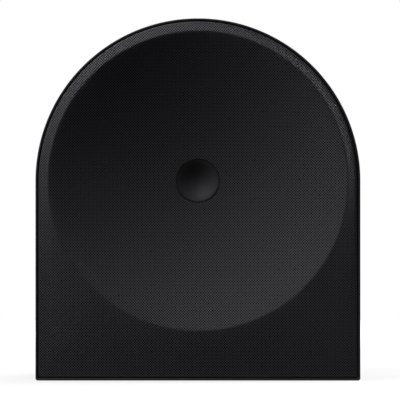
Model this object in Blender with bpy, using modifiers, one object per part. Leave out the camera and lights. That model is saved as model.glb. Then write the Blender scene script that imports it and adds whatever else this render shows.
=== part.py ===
"""Arch-fronted wireless loudspeaker, modelled piece by piece.

Lengths are metres. X runs across the front, Y from the front to the back and Z up.
The origin is on the floor under the middle of the cabinet, and the front faces -Y.
"""

import math

import bmesh
import bpy
from mathutils import Matrix, Vector

# Fits between pieces
GAP = 0.0003
OVERCUT = 0.008

# Cabinet
WIDTH = 0.250
AXIS_HEIGHT = 0.154
DEPTH = 0.130
CORNER_RADIUS = 0.0017
INNER_CORNER = 0.0015
WALL = 0.004
LIP = 0.0016
LIP_PROUD = 0.0004
LIP_CHAMFER = 0.0004
REBATE_DEPTH = 0.010
LEDGE = 0.013
LEDGE_THICKNESS = 0.004
BAFFLE_THICKNESS = 0.006
BAFFLE_SEAL = 0.002
SEAL_WIDTH = 0.0035

# Rear cover
COVER_DEPTH = 0.012
COVER_WALL = 0.0025
COVER_RIM = 0.005
COVER_ROUND = 0.006
SEAM = 0.0018
SEAM_INSET = 0.0015
PILLAR_RADIUS = 0.005
PILLAR_FLOOR = 0.004

# Base pad
PAD_STAND = 0.0004
PAD_THICKNESS = 0.0018
PAD_MARGIN = 0.009

# Grille
DISH_BORDER = 0.0098
DISH_DEPTH = 0.028
EDGE_DROP = 0.003
GRILLE_MARGIN = 0.0008
MESH_THICKNESS = 0.0006
FRAME_THICKNESS = 0.002
HUB_RADIUS = 0.0245
RIB_WIDTH = 0.0055
RIM_BAND = 0.008
CUP_RADIUS = 0.0163
CUP_GAP = 0.0007
CUP_DEPTH = 0.0065
CUP_WALL = 0.0015
CUP_LAND = 0.0006
CUP_FLANGE = 0.0225

# Woofer
FLANGE_RADIUS = 0.055
FLANGE_WIDTH = 0.009
SHEET = 0.0015
DRIVER_SEAL = 0.0015
STROKE = 0.005
DRIVER_CLEARANCE = 0.002
ROLL_HEIGHT = 0.0055
ROLL_WIDTH = 0.009
SKIN = 0.0008
CONE_DEPTH = 0.015
CONE_EDGE = 0.003
CONE_BOW = 0.0017
CAP_RADIUS = 0.0175
CAP_RISE = 0.0055
COIL_RADIUS = 0.013
COIL_WALL = 0.0006
WINDING = 0.0005
WINDING_LENGTH = 0.010
COIL_GAP = 0.0006
SPIDER_SEAT = 0.018
SPIDER_RADIUS = 0.036
SPIDER_WAVE = 0.0012
SPIDER_WAVES = 3
SPIDER_LAND = 0.005
CAN_DEPTH = 0.009
MAGNET_RADIUS = 0.036
MAGNET_BORE = 0.0175
MAGNET_THICKNESS = 0.012
PLATE_THICKNESS = 0.005
POLE_VENT = 0.004
TERMINAL = (0.016, 0.006, 0.003)

# Tweeters
MOUTH_RADIUS = 0.022
DRIVER_SPACING = 0.0015
DOME_RADIUS = 0.0122
DOME_RISE = 0.0045
DOME_SKIN = 0.0004
DOME_STROKE = 0.0003
FORMER_LENGTH = 0.006
THROAT_GAP = 0.0006
HORN_WALL = 0.002
HORN_FOOT = 0.019
MOTOR_RADIUS = 0.014
MOTOR_DEPTH = 0.020

# Bass port
PORT_HEIGHT = 0.060
PORT_BORE = 0.014
PORT_WALL = 0.002
PORT_FLARE = 0.007
PORT_LENGTH = 0.060
PORT_FLANGE = 0.004

# Controls
BUTTON_DROP = 0.034
BUTTON_PITCH = 0.019
BUTTON_RADIUS = 0.0053
BUTTON_PROUD = 0.001
BUTTON_TRAVEL = 0.0008
BUTTON_SLACK = 0.0002
BUTTON_BRIM = 0.0016
BRIM_THICKNESS = 0.001
SWITCH_DROP = 0.019
SWITCH_KNOB = (0.0055, 0.0034)
SWITCH_TRAVEL = 0.003
CONTROL_BOARD = (0.084, 0.038)
TACT_SIZE = 0.006
TACT_HEIGHT = 0.0035

# Mains inlet
INLET_SIDE = 0.055
INLET_HEIGHT = 0.034
INLET_SOCKET = (0.0156, 0.0086)
INLET_WALL = 0.0025
INLET_DEPTH = 0.013
INLET_BRIM = 0.003
PIN_RADIUS = 0.0012
PIN_SPACING = 0.0086
PIN_TAIL = 0.003
PIN_RECESS = 0.0033

# Electronics
BOARD = 0.0016
STANDOFF = 0.0075
STANDOFF_RADIUS = 0.003
MAIN_BOARD = (0.070, 0.070)
MAIN_BOARD_SIDE = 0.005
MAIN_BOARD_HEIGHT = 0.058
SINK_SIZE = 0.044
SINK_BASE = 0.003
SINK_HEIGHT = 0.014
SINK_FIN = 0.0016
SINK_FINS = 7
POWER_BOARD = (0.068, 0.036)
POWER_BOARD_SIDE = 0.004
CORE_SIZE = (0.028, 0.012, 0.024)
BOBBIN_SIZE = (0.018, 0.022, 0.017)
CAPACITOR_RADIUS = 0.007
CAPACITOR_LENGTH = 0.024
ANTENNA_SIZE = (0.001, 0.030, 0.014)
ANTENNA_DROP = 0.024
LEAD_RADIUS = 0.0011
LEAD_STANDOFF = 0.012
LEAD_NEAR = 0.008
LEAD_LIFT = 0.006
LEAD_DROP = 0.010
WOOFER_PLUG = -0.026
WOOFER_BEND = (0.028, 0.012)
RIGHT_PLUG = 0.024
RIGHT_BEND = (0.022, 0.030)
RIGHT_TAIL = 0.014
LEFT_PLUG = -0.016
LEFT_RISE = 0.040
LEFT_BEND = (0.045, 0.034, 0.040)
LEFT_TAIL = 0.020
SUPPLY_PLUG = (-0.028, -0.020)
SUPPLY_SIDE = 0.030

# Screws
SCREW_RADIUS = 0.0014
SCREW_HEAD = 0.0026
SCREW_HEAD_HEIGHT = 0.0018
SCREW_BITE = 0.006
SCREW_EDGE = 0.0005
REAR_SCREW_ANGLE = 60
REAR_SCREW_HEIGHT = 0.077
REAR_SCREW_SIDE = 0.0625
BAFFLE_SCREW_ANGLE = 45
BAFFLE_SCREW_SIDE = 0.031

# Facets
ARCH_STEPS = 24
CORNER_STEPS = 2
WINDOW_RINGS = 3
SPOKES = 16
SPOKE_COLUMNS = 3
DISH_RINGS = 3
FINE = 24
MEDIUM = 12
COARSE = 6
CURVE_STEPS = 4
FLARE_STEPS = 3
LEAD_POINTS = 7
BASKET_ARMS = 4
ARM_COLUMNS = 2

# Planes worked out from the sizes above
HALF = WIDTH / 2
FRONT_COLUMNS = SPOKES * SPOKE_COLUMNS
DISH_RADIUS = HALF - DISH_BORDER
RIDGE_Y = -DEPTH / 2
HOUSING_FRONT_Y = RIDGE_Y + EDGE_DROP - LIP_PROUD
SHOULDER_Y = HOUSING_FRONT_Y + REBATE_DEPTH
BACK_Y = DEPTH / 2 - BUTTON_PROUD
COVER_FRONT_Y = BACK_Y - COVER_DEPTH
COVER_INSIDE_Y = BACK_Y - COVER_WALL
HOUSING_BACK_Y = COVER_FRONT_Y - SEAM
REAR_FLANGE_Y = HOUSING_BACK_Y - LEDGE_THICKNESS
FLOOR_Z = PAD_STAND + WALL
MESH_INSET = LIP + GRILLE_MARGIN
FRAME_INSET = MESH_INSET + MESH_THICKNESS + GAP
DISH_SLOPE = 2 * DISH_DEPTH / DISH_RADIUS
EDGE_SLOPE = EDGE_DROP / (HALF - MESH_INSET - DISH_RADIUS)
STEEPNESS = math.hypot(1, max(DISH_SLOPE, EDGE_SLOPE))
FRAME_SHIFT = MESH_THICKNESS * STEEPNESS + GAP
FRAME_BACK_SHIFT = FRAME_SHIFT + FRAME_THICKNESS * STEEPNESS


def dish_y(radius):
    """Depth of the grille's front face at a radius of the dish, a paraboloid."""
    return RIDGE_Y + DISH_DEPTH * (1 - (radius / DISH_RADIUS) ** 2)


def behind_grille(radius):
    """Depth of the back of the grille carrier at a radius of the dish."""
    return dish_y(radius) + FRAME_BACK_SHIFT


BASKET_MOUTH = FLANGE_RADIUS - FLANGE_WIDTH
CONE_RADIUS = BASKET_MOUTH - ROLL_WIDTH
CAN_RADIUS = SPIDER_RADIUS - SPIDER_LAND
WOOFER_SCREW_CIRCLE = FLANGE_RADIUS - SCREW_HEAD - SCREW_EDGE
ROLL_RADIUS = BASKET_MOUTH - ROLL_WIDTH / 2
FLANGE_Y = behind_grille(ROLL_RADIUS) + DRIVER_CLEARANCE + STROKE + ROLL_HEIGHT
BAFFLE_Y = FLANGE_Y + SHEET + DRIVER_SEAL + 2 * GAP
BAFFLE_BACK_Y = BAFFLE_Y + BAFFLE_THICKNESS
LEDGE_Y = BAFFLE_BACK_Y + BAFFLE_SEAL + 2 * GAP
LEDGE_BACK_Y = LEDGE_Y + LEDGE_THICKNESS
TOP_PLATE = SPIDER_SEAT + CAN_DEPTH + SHEET + GAP
MAGNET = TOP_PLATE + PLATE_THICKNESS + GAP
YOKE = MAGNET + MAGNET_THICKNESS + GAP
TERMINAL_DEPTH = SPIDER_SEAT + 2 * SHEET + TERMINAL[1] / 2
COIL_TOP = CONE_DEPTH - 2 * SKIN
COIL_END = TOP_PLATE + PLATE_THICKNESS / 2 + WINDING_LENGTH / 2
TWEETER_X = FLANGE_RADIUS + DRIVER_SPACING + MOUTH_RADIUS
MOUTH_Y = behind_grille(TWEETER_X - MOUTH_RADIUS) + DRIVER_CLEARANCE
FOOT_Y = BAFFLE_Y - GAP
SCREW_INSET = WALL + LEDGE / 2
BOARD_BACK_Y = COVER_INSIDE_Y - STANDOFF - GAP
BOARD_FRONT_Y = BOARD_BACK_Y - BOARD
ROOM_HALF = HALF - WALL - LEDGE
MAIN_BOARD_PLACE = (ROOM_HALF - MAIN_BOARD_SIDE - MAIN_BOARD[0] / 2, MAIN_BOARD_HEIGHT)
POWER_BOARD_X = POWER_BOARD_SIDE + POWER_BOARD[0] / 2 - ROOM_HALF
POWER_BOARD_Y = (LEDGE_BACK_Y + REAR_FLANGE_Y) / 2
POWER_BOARD_Z = FLOOR_Z + STANDOFF + GAP
POWER_TOP_Z = POWER_BOARD_Z + BOARD
INLET_PLACE = (INLET_SIDE - HALF, INLET_HEIGHT)
INLET_BACK_Y = BACK_Y - INLET_DEPTH - INLET_WALL
BUTTON_HEIGHT = AXIS_HEIGHT + HALF - BUTTON_DROP
ANTENNA_HEIGHT = AXIS_HEIGHT - ANTENNA_DROP

FINISHES = {
    "cabinet_plastic": ((0.011, 0.011, 0.012), 0.46, 0.0),
    "grille_steel": ((0.040, 0.040, 0.042), 0.55, 0.0),
    "inner_plastic": ((0.018, 0.018, 0.018), 0.60, 0.0),
    "cup_plastic": ((0.012, 0.012, 0.013), 0.28, 0.0),
    "rubber": ((0.016, 0.016, 0.016), 0.80, 0.0),
    "foam": ((0.030, 0.030, 0.030), 0.95, 0.0),
    "paper_cone": ((0.022, 0.022, 0.023), 0.75, 0.0),
    "spider_cloth": ((0.300, 0.190, 0.060), 0.90, 0.0),
    "black_cloth": ((0.013, 0.013, 0.014), 0.70, 0.0),
    "plated_steel": ((0.560, 0.560, 0.540), 0.35, 1.0),
    "black_steel": ((0.030, 0.030, 0.032), 0.45, 1.0),
    "ferrite": ((0.040, 0.040, 0.042), 0.65, 0.0),
    "copper": ((0.640, 0.250, 0.110), 0.35, 1.0),
    "circuit_board": ((0.010, 0.070, 0.030), 0.45, 0.0),
    "aluminium": ((0.700, 0.700, 0.710), 0.40, 1.0),
    "sleeve_film": ((0.020, 0.025, 0.060), 0.35, 0.0),
    "brass": ((0.700, 0.520, 0.220), 0.30, 1.0),
    "lead_jacket": ((0.025, 0.025, 0.025), 0.55, 0.0),
    "socket_plastic": ((0.012, 0.012, 0.012), 0.55, 0.0),
}


def clear_scene():
    """Remove whatever the scene holds."""
    for old in list(bpy.data.objects):
        bpy.data.objects.remove(old, do_unlink=True)


def new_collection(name):
    """A fresh collection in the scene."""
    collection = bpy.data.collections.new(name)
    bpy.context.scene.collection.children.link(collection)
    return collection


def make_finish(name):
    """A plain Principled material of the piece's colour."""
    colour, roughness, metallic = FINISHES[name]
    material = bpy.data.materials.new(name)
    material.use_nodes = True
    shader = material.node_tree.nodes["Principled BSDF"]
    shader.inputs["Base Color"].default_value = (*colour, 1.0)
    shader.inputs["Roughness"].default_value = roughness
    shader.inputs["Metallic"].default_value = metallic
    material.diffuse_color = (*colour, 1.0)
    return material


clear_scene()
PARTS = new_collection("arch_loudspeaker")
CUTTERS = new_collection("cutters")
MATERIALS = {name: make_finish(name) for name in FINISHES}


def finish_part(part, finish, carrier=None):
    """Put a finished piece in the parts collection with its material and its carrier."""
    PARTS.objects.link(part)
    part.data.materials.append(MATERIALS[finish])
    part.parent = carrier
    return part


def make_cutter(tool):
    """Keep a tool body out of the model."""
    CUTTERS.objects.link(tool)
    tool.hide_render = True
    tool.display_type = "WIRE"
    return tool


def combine(part, tool, operation):
    """Cut a piece with a tool body, or join the tool body to it."""
    modifier = part.modifiers.new(tool.name, "BOOLEAN")
    modifier.operation = operation
    modifier.solver = "EXACT"
    modifier.object = tool


def cut(part, tool):
    """Take a tool body away from a piece."""
    combine(part, make_cutter(tool), "DIFFERENCE")


def join(part, tool):
    """Join a tool body to a piece."""
    combine(part, make_cutter(tool), "UNION")


def empty(name, place):
    """An empty that carries the pieces of a sub-assembly."""
    carrier = bpy.data.objects.new(name, None)
    carrier.location = place
    PARTS.objects.link(carrier)
    return carrier


def object_from(name, mesh_edit):
    """An object from an edited mesh, which is released."""
    mesh = bpy.data.meshes.new(name)
    mesh_edit.to_mesh(mesh)
    mesh_edit.free()
    return bpy.data.objects.new(name, mesh)


def arc(centre_x, centre_z, radius, start, end, steps):
    """Points on a circular arc between two angles in degrees, both ends included."""
    angles = [math.radians(start + (end - start) * i / steps) for i in range(steps + 1)]
    return [(centre_x + radius * math.cos(a), centre_z + radius * math.sin(a)) for a in angles]


def circle(x, z, radius, steps):
    """Points round a full circle."""
    return arc(x, z, radius, 0, 360, steps)[:-1]


def rounded_box(x, z, width, height, radius, steps):
    """Points round a rectangle with round corners."""
    right = x + width / 2 - radius
    left = x - width / 2 + radius
    top = z + height / 2 - radius
    bottom = z - height / 2 + radius
    points = arc(right, bottom, radius, -90, 0, steps)
    points += arc(right, top, radius, 0, 90, steps)
    points += arc(left, top, radius, 90, 180, steps)
    points += arc(left, bottom, radius, 180, 270, steps)
    return points


def arch_outline(inset):
    """The cabinet's arch outline, moved inwards by an inset."""
    half = HALF - inset
    corner = max(CORNER_RADIUS - inset, INNER_CORNER)
    low = PAD_STAND + inset + corner
    points = arc(half - corner, low, corner, -90, 0, CORNER_STEPS)
    points += arc(0, AXIS_HEIGHT, half, 0, 180, ARCH_STEPS)
    points += arc(corner - half, low, corner, 180, 270, CORNER_STEPS)
    return points


def arch_point(inset, degrees):
    """A place on the round part of the arch outline."""
    return arc(0, AXIS_HEIGHT, HALF - inset, degrees, degrees, 1)[0]


def arch_loft(name, rows):
    """A solid through arch outlines, each given by its inset and depth, with flat ends."""
    edit = bmesh.new()
    loops = [[edit.verts.new((x, y, z)) for x, z in arch_outline(inset)] for inset, y in rows]
    count = len(loops[0])
    for near, far in zip(loops, loops[1:]):
        for i in range(count):
            j = (i + 1) % count
            edit.faces.new((near[i], near[j], far[j], far[i]))
    edit.faces.new(loops[0])
    edit.faces.new(loops[-1])
    bmesh.ops.recalc_face_normals(edit, faces=edit.faces)
    return object_from(name, edit)


def plate(name, loops, start, end, upright=True):
    """A flat outline with holes, from start to end along Y when upright and along Z when not."""
    curve = bpy.data.curves.new(name, "CURVE")
    curve.dimensions = "2D"
    curve.fill_mode = "BOTH"
    curve.extrude = (end - start) / 2
    for loop in loops:
        spline = curve.splines.new("POLY")
        spline.points.add(len(loop) - 1)
        spline.use_cyclic_u = True
        for point, (u, v) in zip(spline.points, loop):
            point.co = (u, v, 0, 1)
    outline = bpy.data.objects.new(name + "_outline", curve)
    CUTTERS.objects.link(outline)
    bpy.context.view_layer.update()
    graph = bpy.context.evaluated_depsgraph_get()
    mesh = bpy.data.meshes.new_from_object(outline.evaluated_get(graph))
    bpy.data.objects.remove(outline, do_unlink=True)
    edit = bmesh.new()
    edit.from_mesh(mesh)
    bpy.data.meshes.remove(mesh)
    bmesh.ops.remove_doubles(edit, verts=edit.verts, dist=GAP / 100)
    place = Matrix.Translation((0, 0, (start + end) / 2))
    if upright:
        place = Matrix.Translation((0, (start + end) / 2, 0)) @ Matrix.Rotation(math.pi / 2, 4, "X")
    bmesh.ops.transform(edit, matrix=place, verts=edit.verts)
    bmesh.ops.recalc_face_normals(edit, faces=edit.faces)
    return object_from(name, edit)


def turned(name, profile, steps):
    """A profile of (radius, depth) points turned about the Y axis of its carrier."""
    pairs = list(zip(profile, profile[1:] + profile[:1]))
    if sum(r0 * y1 - r1 * y0 for (r0, y0), (r1, y1) in pairs) < 0:
        profile = profile[::-1]
    on_axis = profile[0][0] == 0 and profile[-1][0] == 0
    count = len(profile)
    edges = [(i, (i + 1) % count) for i in range(count - on_axis)]
    mesh = bpy.data.meshes.new(name)
    mesh.from_pydata([(r, 0, -y) for r, y in profile], edges, [])
    body = bpy.data.objects.new(name, mesh)
    body.rotation_euler.x = math.pi / 2
    screw = body.modifiers.new("turn", "SCREW")
    screw.axis = "Z"
    screw.steps = steps
    screw.render_steps = steps
    screw.use_merge_vertices = True
    screw.merge_threshold = GAP / 100
    screw.use_smooth_shade = True
    return body


def sheet_shell(name, rings, keep, thickness):
    """A wall behind an open skin of rings, from the innermost ring out, less the cells not kept."""
    edit = bmesh.new()
    loops = [[edit.verts.new(point) for point in ring] for ring in rings]
    count = len(loops[0])
    for row, (inner, outer) in enumerate(zip(loops, loops[1:])):
        for i in range(count):
            j = (i + 1) % count
            if keep(row, i):
                edit.faces.new((outer[i], outer[j], inner[j], inner[i]))
    loose = [vertex for vertex in edit.verts if not vertex.link_faces]
    bmesh.ops.delete(edit, geom=loose, context="VERTS")
    shell = object_from(name, edit)
    wall = shell.modifiers.new("wall", "SOLIDIFY")
    wall.thickness = thickness
    wall.offset = -1
    wall.use_even_offset = True
    return shell


def rods(name, specs, sides):
    """Round bars in one tool body, each given by its two ends and radius."""
    edit = bmesh.new()
    for start, end, radius in specs:
        start = Vector(start)
        way = Vector(end) - start
        turn = way.to_track_quat("Z", "Y").to_matrix().to_4x4()
        place = Matrix.Translation(start + way / 2) @ turn
        bmesh.ops.create_cone(
            edit, cap_ends=True, segments=sides, radius1=radius, radius2=radius,
            depth=way.length, matrix=place,
        )
    return object_from(name, edit)


def blocks(name, specs):
    """Boxes in one body, each given by its centre and size."""
    edit = bmesh.new()
    for centre, size in specs:
        place = Matrix.Translation(centre) @ Matrix.Diagonal((*size, 1))
        bmesh.ops.create_cube(edit, size=1, matrix=place)
    return object_from(name, edit)


def clear_of(radius, sides):
    """Radius of a faceted hole whose flats clear a round piece."""
    return (radius + GAP) / math.cos(math.pi / sides)


def along_y(places, start, end, radius):
    """Bars along Y at (x, z) places, for rods."""
    return [((x, start, z), (x, end, z), radius) for x, z in places]


def mirrored(places):
    """Places on the left and on the right."""
    return [(side * x, z) for x, z in places for side in (-1, 1)]


def corners(x, z, width, height, margin):
    """The four corners of a board, drawn in by a margin."""
    reach_x = width / 2 - margin
    reach_z = height / 2 - margin
    return [(x + i * reach_x, z + j * reach_z) for i in (-1, 1) for j in (-1, 1)]


REAR_SCREWS = mirrored([
    arch_point(SCREW_INSET, REAR_SCREW_ANGLE),
    (HALF - SCREW_INSET, REAR_SCREW_HEIGHT),
    (HALF - REAR_SCREW_SIDE, PAD_STAND + SCREW_INSET),
])
BAFFLE_SCREWS = mirrored([
    arch_point(SCREW_INSET, BAFFLE_SCREW_ANGLE),
    (HALF - BAFFLE_SCREW_SIDE, PAD_STAND + SCREW_INSET),
])
WOOFER_SCREWS = arc(0, AXIS_HEIGHT, WOOFER_SCREW_CIRCLE, 45, 315, 3)
BUTTON_NAMES = ("volume_down", "power", "volume_up")
BUTTON_PLACES = {
    name: ((i - (len(BUTTON_NAMES) - 1) / 2) * BUTTON_PITCH, BUTTON_HEIGHT)
    for i, name in enumerate(BUTTON_NAMES)
}
SWITCH_PLACE = (0, BUTTON_HEIGHT - SWITCH_DROP)
CONTROL_BOARD_PLACE = (0, BUTTON_HEIGHT - SWITCH_DROP / 2)
CONTROL_STANDOFFS = corners(*CONTROL_BOARD_PLACE, *CONTROL_BOARD, STANDOFF_RADIUS)
MAIN_STANDOFFS = corners(*MAIN_BOARD_PLACE, *MAIN_BOARD, STANDOFF_RADIUS)
POWER_STANDOFFS = corners(POWER_BOARD_X, POWER_BOARD_Y, *POWER_BOARD, STANDOFF_RADIUS)


def housing():
    """The arch sleeve, with a front rebate, a baffle ledge, a rear flange and board standoffs."""
    sleeve = arch_loft("housing", [
        (LIP_CHAMFER, HOUSING_FRONT_Y),
        (0, HOUSING_FRONT_Y + LIP_CHAMFER),
        (0, HOUSING_BACK_Y),
    ])
    front = HOUSING_FRONT_Y - OVERCUT
    back = HOUSING_BACK_Y + OVERCUT
    cut(sleeve, arch_loft("housing_bore", [(WALL + LEDGE, front), (WALL + LEDGE, back)]))
    cut(sleeve, arch_loft("housing_rebate", [(LIP, front), (LIP, SHOULDER_Y)]))
    cut(sleeve, arch_loft("housing_front_room", [(WALL, front + GAP), (WALL, LEDGE_Y)]))
    cut(sleeve, arch_loft("housing_rear_room", [(WALL, LEDGE_BACK_Y), (WALL, REAR_FLANGE_Y)]))
    standoffs = [((x, y, FLOOR_Z - WALL / 4), (x, y, FLOOR_Z + STANDOFF), STANDOFF_RADIUS)
                 for x, y in POWER_STANDOFFS]
    join(sleeve, rods("housing_standoffs", standoffs, COARSE))
    recess = PAD_THICKNESS - PAD_STAND + GAP
    middle = (HOUSING_FRONT_Y + HOUSING_BACK_Y) / 2
    size = (pad_size()[0] + 2 * GAP, pad_size()[1] + 2 * GAP, 2 * recess)
    cut(sleeve, blocks("pad_recess", [((0, middle, PAD_STAND), size)]))
    hole = clear_of(SCREW_RADIUS, COARSE)
    ledge_holes = along_y(BAFFLE_SCREWS, LEDGE_Y - GAP, LEDGE_BACK_Y + GAP, hole)
    flange_holes = along_y(REAR_SCREWS, REAR_FLANGE_Y - GAP, HOUSING_BACK_Y + GAP, hole)
    cut(sleeve, rods("housing_screw_holes", ledge_holes + flange_holes, COARSE))
    return finish_part(sleeve, "cabinet_plastic")


def pad_size():
    """Width and depth of the base pad."""
    return (WIDTH - 2 * PAD_MARGIN, HOUSING_BACK_Y - HOUSING_FRONT_Y - 2 * PAD_MARGIN)


def base_pad():
    """The rubber pad that the cabinet stands on."""
    middle = (HOUSING_FRONT_Y + HOUSING_BACK_Y) / 2
    width, depth = pad_size()
    pad = blocks("base_pad", [((0, middle, PAD_THICKNESS / 2), (width, depth, PAD_THICKNESS))])
    return finish_part(pad, "rubber")


def rear_cover():
    """The moulded rear cover, with its screw pillars, board standoffs and openings."""
    turns = [math.pi / 2 * i / FLARE_STEPS for i in range(FLARE_STEPS + 1)]
    cover = arch_loft("rear_cover", [(0, COVER_FRONT_Y)] + [
        (COVER_ROUND * (1 - math.cos(a)), BACK_Y - COVER_ROUND * (1 - math.sin(a))) for a in turns
    ])
    room = [(COVER_RIM, COVER_FRONT_Y - OVERCUT), (COVER_RIM, COVER_INSIDE_Y)]
    cut(cover, arch_loft("cover_room", room))
    sunk = COVER_INSIDE_Y + COVER_WALL / 2
    posts = along_y(REAR_SCREWS, HOUSING_BACK_Y + GAP, sunk, PILLAR_RADIUS)
    join(cover, rods("cover_pillars", posts, MEDIUM // 2))
    standoffs = MAIN_STANDOFFS + CONTROL_STANDOFFS
    legs = along_y(standoffs, COVER_INSIDE_Y - STANDOFF, sunk, STANDOFF_RADIUS)
    join(cover, rods("cover_standoffs", legs, COARSE))
    out = BACK_Y + OVERCUT
    head_y = HOUSING_BACK_Y + GAP + PILLAR_FLOOR
    wells = along_y(REAR_SCREWS, head_y, out, clear_of(SCREW_HEAD, COARSE))
    cut(cover, rods("cover_screw_wells", wells, COARSE))
    hole = clear_of(SCREW_RADIUS, COARSE)
    shanks = along_y(REAR_SCREWS, HOUSING_BACK_Y - OVERCUT, out, hole)
    cut(cover, rods("cover_screw_holes", shanks, COARSE))
    inside = COVER_INSIDE_Y - GAP
    keys = along_y(BUTTON_PLACES.values(), inside, out, clear_of(BUTTON_RADIUS, MEDIUM))
    cut(cover, rods("cover_button_holes", keys, MEDIUM))
    mouth = along_y([(0, PORT_HEIGHT)], inside, out, clear_of(PORT_BORE + PORT_FLARE, FINE))
    cut(cover, rods("cover_port_hole", mouth, FINE))
    width = SWITCH_KNOB[0] + SWITCH_TRAVEL + 2 * GAP
    slot = rounded_box(*SWITCH_PLACE, width, SWITCH_KNOB[1] + 2 * GAP, GAP, 1)
    cut(cover, plate("cover_switch_slot", [slot], inside, out))
    cut(cover, plate("cover_inlet_hole", [inlet_outline(INLET_WALL + GAP)], inside, out))
    return finish_part(cover, "cabinet_plastic")


def seals():
    """The foam seal behind the baffle and the one in the rear seam."""
    start = BAFFLE_BACK_Y + GAP
    inset = WALL + GAP
    loops = [arch_outline(inset), arch_outline(inset + SEAL_WIDTH)]
    finish_part(plate("baffle_seal", loops, start, start + BAFFLE_SEAL), "foam")
    loops = [arch_outline(SEAM_INSET), arch_outline(SEAM_INSET + SEAL_WIDTH)]
    rear = plate("rear_seal", loops, HOUSING_BACK_Y + GAP, COVER_FRONT_Y - GAP)
    finish_part(rear, "foam")


def front_baffle():
    """The board that carries the drivers, screwed to the housing's ledge."""
    throat = clear_of(BASKET_MOUTH, FINE)
    loops = [arch_outline(WALL + GAP), circle(0, AXIS_HEIGHT, throat, FINE)]
    for side in (-1, 1):
        loops.append(circle(side * TWEETER_X, AXIS_HEIGHT, clear_of(MOTOR_RADIUS, MEDIUM), MEDIUM))
    for x, z in BAFFLE_SCREWS + WOOFER_SCREWS:
        loops.append(circle(x, z, clear_of(SCREW_RADIUS, COARSE), COARSE))
    return finish_part(plate("front_baffle", loops, BAFFLE_Y, BAFFLE_BACK_Y), "inner_plastic")


def front_angles():
    """Column angles of the grille, with one column on each lower corner of the arch."""
    angles = [math.tau * i / FRONT_COLUMNS for i in range(FRONT_COLUMNS)]
    reach = math.atan2(AXIS_HEIGHT - PAD_STAND - MESH_INSET, HALF - MESH_INSET)
    for corner in (math.pi + reach, math.tau - reach):
        nearest = min(range(FRONT_COLUMNS), key=lambda i: abs(angles[i] - corner))
        angles[nearest] = corner
    return angles


def outline_reach(angle, inset):
    """Distance from the dish axis to the arch outline along an angle, with square corners."""
    half = HALF - inset
    if math.sin(angle) >= 0:
        return half
    side = half / max(abs(math.cos(angle)), GAP)
    return min(side, (AXIS_HEIGHT - PAD_STAND - inset) / abs(math.sin(angle)))


def grille_ring(angles, radius, y):
    """A ring of the dish."""
    return [(radius * math.cos(a), y, AXIS_HEIGHT + radius * math.sin(a)) for a in angles]


def edge_ring(angles, inset, y):
    """A ring along the arch outline."""
    reaches = [(a, outline_reach(a, inset)) for a in angles]
    return [(r * math.cos(a), y, AXIS_HEIGHT + r * math.sin(a)) for a, r in reaches]


def grille_rings(radii, inset, shift):
    """Rings of a grille skin: the dish, the sloping border and the skirt that enters the rebate."""
    angles = front_angles()
    rings = [grille_ring(angles, radius, dish_y(radius) + shift) for radius in radii]
    rings.append(edge_ring(angles, inset, RIDGE_Y + EDGE_DROP + shift))
    rings.append(edge_ring(angles, inset, SHOULDER_Y - GAP))
    return rings


def grille_mesh():
    """The pressed steel skin over the carrier; its fine holes are left to the finish."""
    hole = CUP_RADIUS + CUP_GAP
    step = (DISH_RADIUS - hole) / DISH_RINGS
    radii = [hole + step * i for i in range(DISH_RINGS + 1)]
    rings = grille_rings(radii, MESH_INSET, 0)
    skin = sheet_shell("grille_mesh", rings, lambda row, column: True, MESH_THICKNESS)
    return finish_part(skin, "grille_steel")


def grille_frame():
    """The moulded carrier: a dish of rings and spokes, open before the drivers."""
    span = DISH_RADIUS - RIM_BAND - HUB_RADIUS
    window = (span - (WINDOW_RINGS - 1) * RIB_WIDTH) / WINDOW_RINGS
    radii = [CUP_RADIUS + GAP]
    for i in range(WINDOW_RINGS):
        start = HUB_RADIUS + i * (window + RIB_WIDTH)
        radii += [start, start + window]
    radii.append(DISH_RADIUS)

    def keep(row, column):
        """Solid everywhere but in the windows, which are twice as wide in the inner ring."""
        spoke = 2 * SPOKE_COLUMNS if row == 1 else SPOKE_COLUMNS
        return row % 2 == 0 or row > 2 * WINDOW_RINGS or column % spoke == 0

    rings = grille_rings(radii, FRAME_INSET, FRAME_SHIFT)
    return finish_part(sheet_shell("grille_frame", rings, keep, FRAME_THICKNESS), "inner_plastic")


def centre_cup():
    """The smooth cup in the middle of the dish, clipped behind the carrier's hub."""
    rim = dish_y(CUP_RADIUS)
    bowl = CUP_RADIUS - CUP_LAND
    flange = behind_grille(CUP_RADIUS) + GAP
    shares = [i / CURVE_STEPS for i in range(CURVE_STEPS + 1)]
    inner = [(bowl * s, rim + CUP_DEPTH * (1 - s * s)) for s in shares]
    side = [(CUP_RADIUS, rim), (CUP_RADIUS, flange), (CUP_FLANGE, flange)]
    side.append((CUP_FLANGE, flange + CUP_WALL))
    back = [(r, max(y, flange) + CUP_WALL) for r, y in inner[::-1]]
    cup = turned("centre_cup", inner + side + back, FINE)
    return finish_part(cup, "cup_plastic", empty("cup_axis", (0, 0, AXIS_HEIGHT)))


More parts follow.
